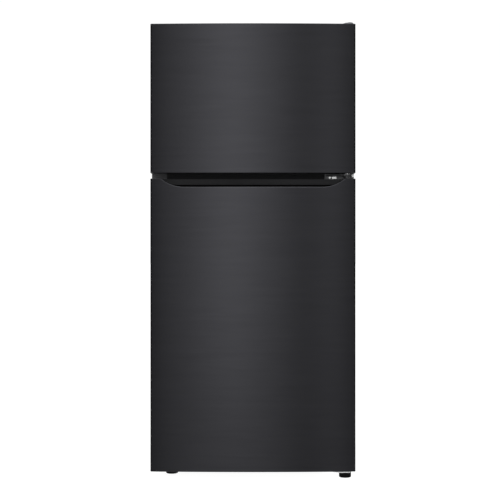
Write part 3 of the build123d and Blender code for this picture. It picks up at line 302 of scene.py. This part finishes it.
def dark_plastic():
    m = Mat("dark_plastic")
    fine = m.noise(900, (1, 1, 1), 2.0)
    slow = m.noise(6, (1, 1, 1), 3.0)
    m.colour(m.mix(m.ramp(slow, 0, 1, 0.3, 0.7), (0.0075, 0.0075, 0.0082), (0.0105, 0.0105, 0.0112)))
    m.set(rough=m.ramp(fine, 0.5, 0.64, 0.3, 0.7), spec=0.2)
    m.bump(fine, 0.18, 0.00025)
    return m.m


def black_rubber():
    m = Mat("black_rubber")
    n = m.noise(420, (1, 1, 1), 3.0)
    m.colour(m.mix(n, (0.0018, 0.0018, 0.0018), (0.0038, 0.0038, 0.0038)))
    m.set(rough=m.ramp(n, 0.62, 0.8, 0.3, 0.7), spec=0.12)
    m.bump(n, 0.2, 0.0003)
    return m.m


def foam():
    m = Mat("foam")
    cells = m.voronoi(700, (1, 1, 1))
    n = m.noise(22, (1, 1, 1), 4.0)
    m.colour(m.mix(n, (0.68, 0.56, 0.30), (0.80, 0.70, 0.44)))
    m.set(rough=0.85, spec=0.2)
    m.bump(cells, 0.5, 0.001)
    return m.m


def white_plastic(name, lo, hi, rough_lo, rough_hi, grain=700, strength=0.06):
    m = Mat(name)
    fine = m.noise(grain, (1, 1, 1), 2.0)
    slow = m.noise(4, (1, 1, 1), 3.0)
    m.colour(m.mix(m.ramp(slow, 0, 1, 0.3, 0.7), lo, hi))
    m.set(rough=m.ramp(fine, rough_lo, rough_hi, 0.3, 0.7), spec=0.5, coat=0.08, coat_rough=0.2)
    m.bump(fine, strength, 0.0003)
    return m.m


def clear_plastic():
    m = Mat("clear_plastic")
    n = m.noise(14, (1, 1, 1), 3.0)
    fine = m.noise(240, (1, 1, 1), 2.0)
    m.colour(m.mix(m.ramp(n, 0, 1, 0.3, 0.7), (0.945, 0.97, 0.975), (0.975, 0.99, 0.993)))
    m.set(trans=0.94, ior=1.1, rough=m.ramp(fine, 0.04, 0.09, 0.3, 0.7), spec=0.5, coat=0.35, coat_rough=0.06)
    m.bump(n, 0.04, 0.001)
    return m.m


def shelf_glass():
    m = Mat("shelf_glass")
    n = m.noise(5, (1, 1, 1), 2.0)
    m.colour(m.mix(m.ramp(n, 0, 1, 0.3, 0.7), (0.88, 0.962, 0.938), (0.92, 0.975, 0.955)))
    m.set(trans=0.96, ior=1.16, rough=0.03, coat=0.5, coat_rough=0.03)
    m.bump(n, 0.02, 0.001)
    return m.m


def frosted_lens():
    m = Mat("frosted_lens")
    ribs = m.noise(1.0, (260, 2, 2), 1.0)
    m.colour(m.mix(ribs, (0.88, 0.89, 0.87), (0.95, 0.955, 0.94)))
    m.set(trans=0.0, rough=0.38, ior=1.45, emit=9.0)
    m.bsdf.inputs["Emission Color"].default_value = (1.0, 0.985, 0.95, 1)
    m.bump(ribs, 0.3, 0.001)
    return m.m


def gasket_grey():
    m = Mat("gasket_grey")
    n = m.noise(160, (1, 1, 1), 3.0)
    m.colour(m.mix(n, (0.055, 0.055, 0.058), (0.08, 0.08, 0.083)))
    m.set(rough=m.ramp(n, 0.5, 0.65, 0.3, 0.7), spec=0.25)
    m.bump(n, 0.1, 0.0004)
    return m.m


def aluminium_fins():
    m = Mat("aluminium_fins")
    n = m.noise(60, (1, 1, 1), 3.0)
    m.colour(m.mix(n, (0.62, 0.63, 0.64), (0.78, 0.785, 0.79)))
    m.set(metal=1.0, rough=m.ramp(n, 0.24, 0.4, 0.3, 0.7))
    m.bump(n, 0.06, 0.0003)
    return m.m


def copper():
    m = Mat("copper")
    n = m.noise(30, (1, 1, 1), 4.0)
    m.colour(m.mix(m.ramp(n, 0, 1, 0.35, 0.7), (0.52, 0.26, 0.15), (0.76, 0.43, 0.28)))
    m.set(metal=1.0, rough=m.ramp(n, 0.22, 0.42, 0.3, 0.7))
    m.bump(n, 0.05, 0.0003)
    return m.m


SLOTS = {
    "black_stainless": black_stainless(),
    "cabinet_paint": cabinet_paint(),
    "galvanised": galvanised(),
    "black_steel": black_steel(),
    "hinge_steel": hinge_steel(),
    "bright_screw": bright_screw(),
    "dark_plastic": dark_plastic(),
    "black_rubber": black_rubber(),
    "foam": foam(),
    "white_liner": white_plastic("white_liner", (0.77, 0.785, 0.79), (0.80, 0.812, 0.815), 0.24, 0.32),
    "white_plastic": white_plastic("white_plastic", (0.74, 0.75, 0.755), (0.775, 0.785, 0.788), 0.34, 0.44, 900, 0.12),
    "white_wire": white_plastic("white_wire", (0.78, 0.785, 0.78), (0.81, 0.812, 0.808), 0.16, 0.24, 500, 0.04),
    "clear_plastic": clear_plastic(),
    "frosted_lens": frosted_lens(),
    "shelf_glass": shelf_glass(),
    "gasket_grey": gasket_grey(),
    "aluminium_fins": aluminium_fins(),
    "copper": copper(),
    "grey_knob": white_plastic("grey_knob", (0.40, 0.41, 0.42), (0.45, 0.46, 0.47), 0.38, 0.5, 800, 0.15),
}

slot_of = {s["node"]: s["material_slot"] for s in frame["record"]["subparts"]}
for name, ob in nodes.items():
    ob.data.materials.clear()
    ob.data.materials.append(SLOTS[slot_of[name]])
# the strip between the two openings gets a much darker copy of the cabinet paint: painted shade for the dark gap
# between the doors
nodes["mullion_strip"].data.materials[0] = mullion_painted_shade()
# the hinge cover gets a lighter grey: a painted highlight for the light on its top
nodes["top_hinge_cover"].data.materials[0] = cover_painted_highlight()
nodes["bottom_hinge"].data.materials[0] = zinc_plate()
# the doors' inner faces swing out into the full light, so they get a greyer copy of the white plastic: painted shade
# that offsets that light
inner = white_plastic("door_liner_painted_shade", (0.605, 0.617, 0.622), (0.64, 0.65, 0.655), 0.26, 0.34)
for name in ("freezer_door_liner", "fridge_door_liner", "dairy_bin"):
    nodes[name].data.materials[0] = inner


# =============================================================================
# Mesh helpers
# =============================================================================
def make_piece(name, verts, faces, body, slot, replaces=(), smooth=True):
    me = bpy.data.meshes.new(name)
    me.from_pydata([tuple(v) for v in verts], [], faces)
    me.validate()
    if smooth:
        me.polygons.foreach_set("use_smooth", [True] * len(me.polygons))
    me.update()
    ob = bpy.data.objects.new(name, me)
    bpy.context.scene.collection.objects.link(ob)
    me.materials.append(SLOTS[slot])
    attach(ob, body)
    if replaces:
        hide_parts(*replaces)
    return ob


def edge_height(x, drop=0.0):
    """Height of the fridge door's dipped top edge, and its slope angle, at x."""
    a = abs(x)
    if a >= POCKET_HALF:
        return FRG_TOP, 0.0
    if a <= POCKET_FLAT:
        return POCKET_Z, 0.0
    s = (a - POCKET_FLAT) / POCKET_R
    return POCKET_Z + POCKET_R * (1 - math.sqrt(1 - s * s)), math.asin(s)


def plan_profile(extra=()):
    """Outer outline of a door skin seen from above, as (x, y, nx, ny)."""
    pts = []
    for k in range(4):
        pts.append((-FLANGE_X - k * (HALF_W - HEM_R - FLANGE_X) / 4, DOOR_BACK, 0, 1))
    cx, cy = -HALF_W + HEM_R, DOOR_BACK - HEM_R
    for k in range(0, 7):
        a = math.radians(90 + 15 * k)
        pts.append((cx + HEM_R * math.cos(a), cy + HEM_R * math.sin(a), math.cos(a), math.sin(a)))
    yc0 = Y_APEX + CROWN_R
    fx = -HALF_W + EDGE_R
    fy = yc0 - math.sqrt((CROWN_R - EDGE_R) ** 2 - fx * fx)
    a_end = math.atan2(fy - yc0, fx) % (2 * math.pi)
    for k in range(1, 4):
        t = k / 4
        pts.append((-HALF_W, cy + (fy - cy) * t, -1, 0))
    for k in range(0, 11):
        a = math.pi + (a_end - math.pi) * k / 10
        pts.append((fx + EDGE_R * math.cos(a), fy + EDGE_R * math.sin(a), math.cos(a), math.sin(a)))
    left = list(pts)
    x_last = pts[-1][0]
    xs = set()
    n = 44
    for k in range(1, n):
        xs.add(round(x_last + (-2 * x_last) * k / n, 6))
    for v in extra:
        xs.add(round(v, 6))
        xs.add(round(-v, 6))
    xs = sorted(v for v in xs if x_last + 0.0012 < v < -x_last - 0.0012)
    keep = []
    for v in xs:
        near = [e for e in extra if abs(abs(v) - e) < 0.0035 and abs(abs(v) - e) > 1e-6]
        if not near:
            keep.append(v)
    for x in keep:
        s = x / CROWN_R
        pts.append((x, yc0 - math.sqrt(CROWN_R**2 - x * x), s, -math.sqrt(1 - s * s)))
    for x, y, nx, ny in reversed(left):
        pts.append((-x, y, -nx, ny))
    return pts


def door_skin(name, z0, z1, body, node, dipped):
    """Thin sheet wrapped round a door: crowned front, rolled edges, back flanges.

    Every column of the outline is one closed loop round the sheet's thickness,
    cut into bands, and each band has its own exact normals."""
    extra = []
    if dipped:
        extra = [POCKET_FLAT, POCKET_HALF]
        extra += [POCKET_FLAT + (POCKET_HALF - POCKET_FLAT) * k / 14 for k in range(1, 14)]
    pts = plan_profile(extra)
    T, R0 = 0.0008, 0.0006
    up = Vector((0, 0, 1))
    z_rows = [z0 + R0 + (1.045 - z0 - R0) * k / 8 for k in range(9)] if dipped else [
        z0 + R0 + (z1 - 0.01 - z0 - R0) * k / 6 for k in range(7)]
    columns = []
    for x, y, nx, ny in pts:
        n = Vector((nx, ny, 0))
        p = Vector((x, y, 0))
        kinds = ["plain"]
        if dipped and ny < -0.9 and abs(x) <= POCKET_HALF + 1e-6:
            kinds = ["hem"]
            if abs(abs(x) - POCKET_HALF) < 1e-5:
                kinds = ["plain", "hem"] if x < 0 else ["hem", "plain"]
        for kind in kinds:
            t, zt, rho, depth, thick = up, z1, 0.0007 if dipped else 0.0015, T, 0.0006
            if kind == "hem":
                zt, beta = edge_height(x)
                if abs(abs(x) - POCKET_HALF) < 1e-5:
                    zt, beta = FRG_TOP, math.asin((POCKET_HALF - POCKET_FLAT) / POCKET_R)
                t = Vector((-math.copysign(math.sin(beta), x), 0, math.cos(beta)))
                rho, depth, thick = 0.0021, 0.0150, 0.0010
            bands = []
            # bottom lip, inside to outside
            bands.append([(p - n * T + up * (z0 + 0.004), -n), (p - n * T + up * z0, -n)])
            bands.append([(p - n * T + up * z0, -up), (p - n * R0 + up * z0, -up)])
            roll = []
            for k in range(5):
                a = math.radians(90 * k / 4)
                roll.append((p - n * R0 * (1 - math.sin(a)) + up * (z0 + R0 * (1 - math.cos(a))), n * math.sin(a) - up * math.cos(a)))
            bands.append(roll)
            bands.append([(p + up * z, n) for z in z_rows])
            top = p + up * zt - t * rho
            bands.append([(p + up * z_rows[-1], n), (top, n)])
            bands.append([(top - n * rho * (1 - math.cos(math.radians(90 * k / 6))) + t * rho * math.sin(math.radians(90 * k / 6)),
                           n * math.cos(math.radians(90 * k / 6)) + t * math.sin(math.radians(90 * k / 6))) for k in range(7)])
            c = p + up * zt
            d0 = min(rho, depth)
            bands.append([(c - n * (d0 + (depth - d0) * f), t) for f in (0.0, 0.5, 1.0)])
            bands.append([(c - n * depth, -n), (c - n * depth - t * thick, -n)])
            bands.append([(c - n * depth - t * thick, -t), (c - n * T - t * (thick + 0.0002), -t)])
            bands.append([(c - n * T - t * (thick + 0.0002), -n), (c - n * T - t * (thick + 0.004), -n)])
            columns.append(bands)
    verts, faces, normals = [], [], []
    index = []
    for bands in columns:
        rows = []
        for band in bands:
            ids = []
            for q, nn in band:
                verts.append(tuple(q))
                ids.append(len(verts) - 1)
            rows.append(ids)
        index.append(rows)
    for i in range(len(columns) - 1):
        for j in range(len(columns[0])):
            ca, cb = columns[i][j], columns[i + 1][j]
            ia, ib = index[i][j], index[i + 1][j]
            for k in range(len(ca) - 1):
                q = [(ca[k], ia[k]), (ca[k + 1], ia[k + 1]), (cb[k + 1], ib[k + 1]), (cb[k], ib[k])]
                e1 = q[1][0][0] - q[0][0][0]
                e2 = q[2][0][0] - q[1][0][0]
                area = ((q[2][0][0] - q[0][0][0]).cross(q[3][0][0] - q[1][0][0])).length
                if area < 1e-11:
                    continue
                fn = (q[2][0][0] - q[0][0][0]).cross(q[3][0][0] - q[1][0][0])
                if fn.dot(q[0][0][1] + q[2][0][1]) < 0:
                    q.reverse()
                faces.append(tuple(v[1] for v in q))
                normals += [tuple(v[0][1].normalized()) for v in q]
    ob = make_piece(name, verts, faces, body, "black_stainless", (node,))
    if len(ob.data.loops) == len(normals):
        ob.data.normals_split_custom_set(normals)
    else:
        raise RuntimeError("door skin lost faces: %d loops, %d normals" % (len(ob.data.loops), len(normals)))
    return ob


door_skin("freezer_door_front", FRZ_LO[2], FRZ_HI[2], "freezer_door", "freezer_door_skin", False)
door_skin("fridge_door_front", FRG_LO[2], FRG_HI[2], "fridge_door", "fridge_door_skin", True)


def lathe_heads(name, places, axis, radius, height, body, slot):
    """Low pan heads with a cross recess, standing on a flat face along axis."""
    a = Vector(axis).normalized()
    u = a.orthogonal().normalized()
    v = a.cross(u)
    verts, faces = [], []
    seg = 24
    prof = [(1.0, 0.0), (0.985, 0.45), (0.90, 0.80), (0.70, 0.97), (0.52, 1.0)]
    for c in places:
        c = Vector(c)
        base = len(verts)
        for r, h in prof:
            for k in range(seg):
                t = 2 * math.pi * k / seg
                verts.append(c + (u * math.cos(t) + v * math.sin(t)) * radius * r + a * height * h)
        for i in range(len(prof) - 1):
            for k in range(seg):
                k2 = (k + 1) % seg
                faces.append((base + i * seg + k, base + i * seg + k2, base + (i + 1) * seg + k2, base + (i + 1) * seg + k))
        # the cross: arms run to the inner ring, the floor lies lower
        inner = base + (len(prof) - 1) * seg
        ring = []
        for k in range(seg):
            t = 2 * math.pi * k / seg
            arm = abs(math.cos(2 * t)) > 0.92
            r = 0.44 if arm else 0.13
            verts.append(c + (u * math.cos(t) + v * math.sin(t)) * radius * r + a * height * 1.0)
            ring.append(len(verts) - 1)
        low = []
        for k in range(seg):
            t = 2 * math.pi * k / seg
            arm = abs(math.cos(2 * t)) > 0.92
            r = 0.38 if arm else 0.10
            verts.append(c + (u * math.cos(t) + v * math.sin(t)) * radius * r + a * height * 0.3)
            low.append(len(verts) - 1)
        for k in range(seg):
            k2 = (k + 1) % seg
            faces.append((inner + k, inner + k2, ring[k2], ring[k]))
            faces.append((ring[k], ring[k2], low[k2], low[k]))
        faces.append(tuple(low))
    ob = make_piece(name, verts, faces, body, slot, smooth=False)
    return ob



def rounded_block(name, lo, hi, r, body, slot):
    """A moulded block with every edge rounded by r."""
    bm = bmesh.new()
    bmesh.ops.create_cube(bm, size=1.0)
    for v in bm.verts:
        v.co = Vector([(lo[i] + hi[i]) / 2 + v.co[i] * (hi[i] - lo[i]) for i in range(3)])
    bmesh.ops.bevel(bm, geom=list(bm.edges) + list(bm.verts), offset=r, segments=3, affect="EDGES", profile=0.5)
    bmesh.ops.recalc_face_normals(bm, faces=bm.faces)
    me = bpy.data.meshes.new(name)
    bm.to_mesh(me)
    bm.free()
    me.polygons.foreach_set("use_smooth", [True] * len(me.polygons))
    me.update()
    ob = bpy.data.objects.new(name, me)
    sc0 = bpy.context.scene
    sc0.collection.objects.link(ob)
    me.materials.append(SLOTS[slot])
    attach(ob, body)
    return ob


# pale end cap clipped on the middle hinge leaf, at the hinge side
rounded_block("middle_hinge_end_cap", (0.3668, -0.3428, 1.1163), (0.3752, -0.3304, 1.1276), 0.0022, "cabinet", "white_plastic")

RP_LO, RP_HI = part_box("rear_panel")
MC_LO, MC_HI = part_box("machine_cover")
back_y = max(RP_HI[1], MC_HI[1])
places = []
for zz in (RP_LO[2] + 0.30, RP_LO[2] + 0.66, RP_LO[2] + 1.02, RP_HI[2] - 0.012):
    for xx in (-0.366, 0.366):
        places.append((xx, RP_HI[1], zz))
for xx in (-0.18, 0.0, 0.18):
    places.append((xx, RP_HI[1], RP_HI[2] - 0.012))
lathe_heads("rear_panel_screws", places, (0, 1, 0), 0.0042, min(0.0006, cad_hi[1] - RP_HI[1]), "cabinet", "bright_screw")
places = []
for xx in (-0.362, -0.12, 0.12, 0.362):
    places.append((xx, MC_HI[1], MC_HI[2] - 0.012))
for xx in (-0.362, 0.362):
    places.append((xx, MC_HI[1], MC_LO[2] + 0.012))
lathe_heads("machine_cover_screws", places, (0, 1, 0), 0.0042, min(0.0006, cad_hi[1] - MC_HI[1]), "cabinet", "bright_screw")

# =============================================================================
# Stage, light and camera
# =============================================================================
sc = bpy.context.scene
sc.view_settings.view_transform = "Standard"
sc.view_settings.look = "None"
sc.view_settings.exposure = 0.0
sc.view_settings.gamma = 1.0


def floor_piece():
    me = bpy.data.meshes.new("floor")
    R, n = 60.0, 96
    verts = [(0, 0, 0)] + [(R * math.cos(2 * math.pi * k / n), R * math.sin(2 * math.pi * k / n), 0) for k in range(n)]
    faces = [(0, 1 + k, 1 + (k + 1) % n) for k in range(n)]
    me.from_pydata(verts, [], faces)
    ob = bpy.data.objects.new("floor", me)
    sc.collection.objects.link(ob)
    m = Mat("floor_paint")
    n1 = m.noise(3.0, (1, 1, 1), 3.0)
    m.colour(m.mix(m.ramp(n1, 0, 1, 0.3, 0.7), (0.24, 0.24, 0.24), (0.26, 0.26, 0.26)))
    m.set(rough=0.9, spec=0.0, emit=0.95)
    m.bsdf.inputs["Emission Color"].default_value = (1, 1, 1, 1)
    me.materials.append(m.m)
    ob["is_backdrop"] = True
    ob.visible_glossy = False
    return ob


floor_piece()

world = bpy.data.worlds.new("studio")
sc.world = world
world.use_nodes = True
wt = world.node_tree
wt.nodes.clear()
out = wt.nodes.new("ShaderNodeOutputWorld")


def wmath(op, a, b=0.0, clamp=False):
    n = wt.nodes.new("ShaderNodeMath")
    n.operation = op
    n.use_clamp = clamp
    for i, v in enumerate((a, b)):
        if isinstance(v, (int, float)):
            n.inputs[i].default_value = v
        else:
            wt.links.new(v, n.inputs[i])
    return n.outputs[0]


coord = wt.nodes.new("ShaderNodeTexCoord").outputs["Generated"]
sep = wt.nodes.new("ShaderNodeSeparateXYZ")
wt.links.new(coord, sep.inputs[0])
X, Y, Z = sep.outputs
# horizontal angle of the direction, measured from -Y, in radians
ang = wmath("ARCTAN2", X, wmath("MULTIPLY", Y, -1.0))


def ramp_of(value, lo, hi, stops):
    """A smooth curve through stops (position, level), for value from lo to hi."""
    mr = wt.nodes.new("ShaderNodeMapRange")
    mr.inputs["From Min"].default_value = lo
    mr.inputs["From Max"].default_value = hi
    wt.links.new(value, mr.inputs["Value"])
    r = wt.nodes.new("ShaderNodeValToRGB")
    r.color_ramp.interpolation = "LINEAR"
    el = r.color_ramp.elements
    while len(el) > 1:
        el.remove(el[-1])
    el[0].position = (stops[0][0] - lo) / (hi - lo)
    el[0].color = (stops[0][1],) * 3 + (1,)
    for pos, lv in stops[1:]:
        e = el.new((pos - lo) / (hi - lo))
        e.color = (lv,) * 3 + (1,)
    wt.links.new(mr.outputs["Result"], r.inputs["Fac"])
    return r.outputs["Color"]


deg = wmath("MULTIPLY", ang, 180 / math.pi)
elev = wmath("MULTIPLY", wmath("ARCSINE", Z, 0.0), 180 / math.pi)
# What the crowned doors mirror in the front view, at camera height and above
# (HIGH) and towards the floor (LOW): (angle from -Y in degrees, brightness).
HIGH = [(-180, 0.4), (-125, 0.34), (-106, 0.1), (-100, 0.45), (-80, 0.45), (-74, 0.06), (-30, 0.05), (-18, 0.06),
        (-14, 0.3), (-11.3, 0.0600), (-9.8, 0.7600), (-8.2, 0.7250), (-6.7, 0.9528), (-5.1, 1.3014),
        (-3.5, 1.4819), (-2, 1.8062), (-0.4, 1.4268), (1.2, 1.2224), (2.7, 0.9806), (4.3, 0.6751), (5.8, 0.4716),
        (7.4, 0.6300), (8.9, 1.0300), (10.4, 0.6750), (11.7, 0.060), (14, 0.3), (18, 0.06), (30, 0.05), (74, 0.06),
        (80, 0.45), (100, 0.45), (106, 0.1), (125, 0.34), (180, 0.4)]
LOW = [(-180, 0.4), (-125, 0.34), (-106, 0.1), (-100, 0.45), (-80, 0.45), (-74, 0.06), (-30, 0.05), (-18, 0.06),
       (-14, 0.26), (-11.3, 0.0495), (-9.8, 0.4874), (-8.2, 0.4057), (-6.7, 0.4973), (-5.1, 0.4795),
       (-3.5, 0.4889), (-2, 0.5142), (-0.4, 0.5323), (1.2, 0.468), (2.7, 0.4825), (4.3, 0.3729), (5.8, 0.2684),
       (7.4, 0.343), (8.9, 0.5484), (10.4, 0.5494), (11.7, 0.0403), (14, 0.26), (18, 0.06), (30, 0.05), (74, 0.06),
       (80, 0.45), (100, 0.45), (106, 0.1), (125, 0.34), (180, 0.4)]
high = ramp_of(deg, -180, 180, HIGH[:17]), ramp_of(deg, -180, 180, HIGH[17:])
low = ramp_of(deg, -180, 180, LOW[:17]), ramp_of(deg, -180, 180, LOW[17:])
# the two halves of each curve meet where both have the same level
split = wmath("GREATER_THAN", deg, (HIGH[16][0] + HIGH[17][0]) / 2)


def joined(pair):
    left = wmath("MULTIPLY", pair[0], wmath("SUBTRACT", 1.0, split))
    return wmath("ADD", left, wmath("MULTIPLY", pair[1], split))


blend = ramp_of(elev, -90, 90, [(-90, 0), (-12, 0), (-8.6, 0.331), (-5.9, 0.807), (-2.7, 1), (1.5, 1), (90, 1)])
level = wmath("ADD", wmath("MULTIPLY", joined(low), wmath("SUBTRACT", 1.0, blend)), wmath("MULTIPLY", joined(high), blend))
# the pale floor below, seen to the sides, and the bright ceiling above
side = ramp_of(deg, -180, 180, [(-180, 0.9), (-125, 0.8), (-75, 0.7), (-58, 1.0), (-49, 1.9), (-41, 1.5), (-33, 0.8), (-24, 0.15), (24, 0.15), (33, 0.8), (41, 1.5), (49, 1.9), (58, 1.0), (75, 0.7), (125, 0.8), (180, 0.9)])
down = ramp_of(elev, -90, 90, [(-90, 0.85), (-34, 0.85), (-17, 0.80), (-12, 0.0), (90, 0.0)])
above = ramp_of(elev, -90, 90, [(-90, 0.0), (34, 0.0), (44, 1.0), (90, 1.0)])
ahead = ramp_of(deg, -180, 180, [(-180, 2.4), (-120, 2.4), (-100, 0.6), (-80, 0.6), (-60, 3.0), (60, 3.0), (80, 0.6), (100, 0.6), (120, 2.4), (180, 2.4)])
level = wmath("ADD", level, wmath("MULTIPLY", side, down))
level = wmath("ADD", level, wmath("MULTIPLY", above, ahead))

lp = wt.nodes.new("ShaderNodeLightPath")
bg_refl = wt.nodes.new("ShaderNodeBackground")
bg_refl.inputs["Color"].default_value = (0.985, 0.99, 1.0, 1)
wt.links.new(level, bg_refl.inputs["Strength"])
bg_plain = wt.nodes.new("ShaderNodeBackground")
bg_plain.inputs["Color"].default_value = (1.0, 1.0, 1.0, 1)
bg_plain.inputs["Strength"].default_value = 1.02
mixw = wt.nodes.new("ShaderNodeMixShader")
# plain white for what the camera sees directly and for soft shading
wt.links.new(wmath("MAXIMUM", lp.outputs["Is Camera Ray"], lp.outputs["Is Diffuse Ray"]), mixw.inputs["Fac"])
wt.links.new(bg_refl.outputs[0], mixw.inputs[1])
wt.links.new(bg_plain.outputs[0], mixw.inputs[2])
wt.links.new(mixw.outputs[0], out.inputs["Surface"])


def area(name, loc, target, size, size_y, power, spec=1.0, colour=(1, 1, 1)):
    li = bpy.data.lights.new(name, "AREA")
    li.shape = "RECTANGLE"
    li.size, li.size_y = size, size_y
    li.energy = power
    li.color = colour
    li.specular_factor = spec
    ob = bpy.data.objects.new(name, li)
    sc.collection.objects.link(ob)
    ob.location = loc
    ob.rotation_euler = (Vector(target) - Vector(loc)).to_track_quat("-Z", "Y").to_euler()
    ob.visible_glossy = False
    return ob


area("top_softbox", (0.2, -0.6, 4.2), (0, 0, 0.6), 3.0, 3.0, 70)
area("front_softbox", (-1.2, -4.4, 2.3), (0, -0.2, 0.9), 2.0, 2.0, 80)

cam = bpy.data.cameras.new("camera")
camo = bpy.data.objects.new("camera", cam)
sc.collection.objects.link(camo)
D = 3.9
PX_PER_M = 272.05
cam.sensor_width = 36.0
cam.lens = 36.0 / 500.0 * PX_PER_M * D
cam.clip_start, cam.clip_end = 0.05, 200
camo.location = (-2.96 / PX_PER_M, -0.397 - D, (479.9 - 250.0) / PX_PER_M)
camo.rotation_euler = (math.radians(90), 0, 0)
sc.camera = camo
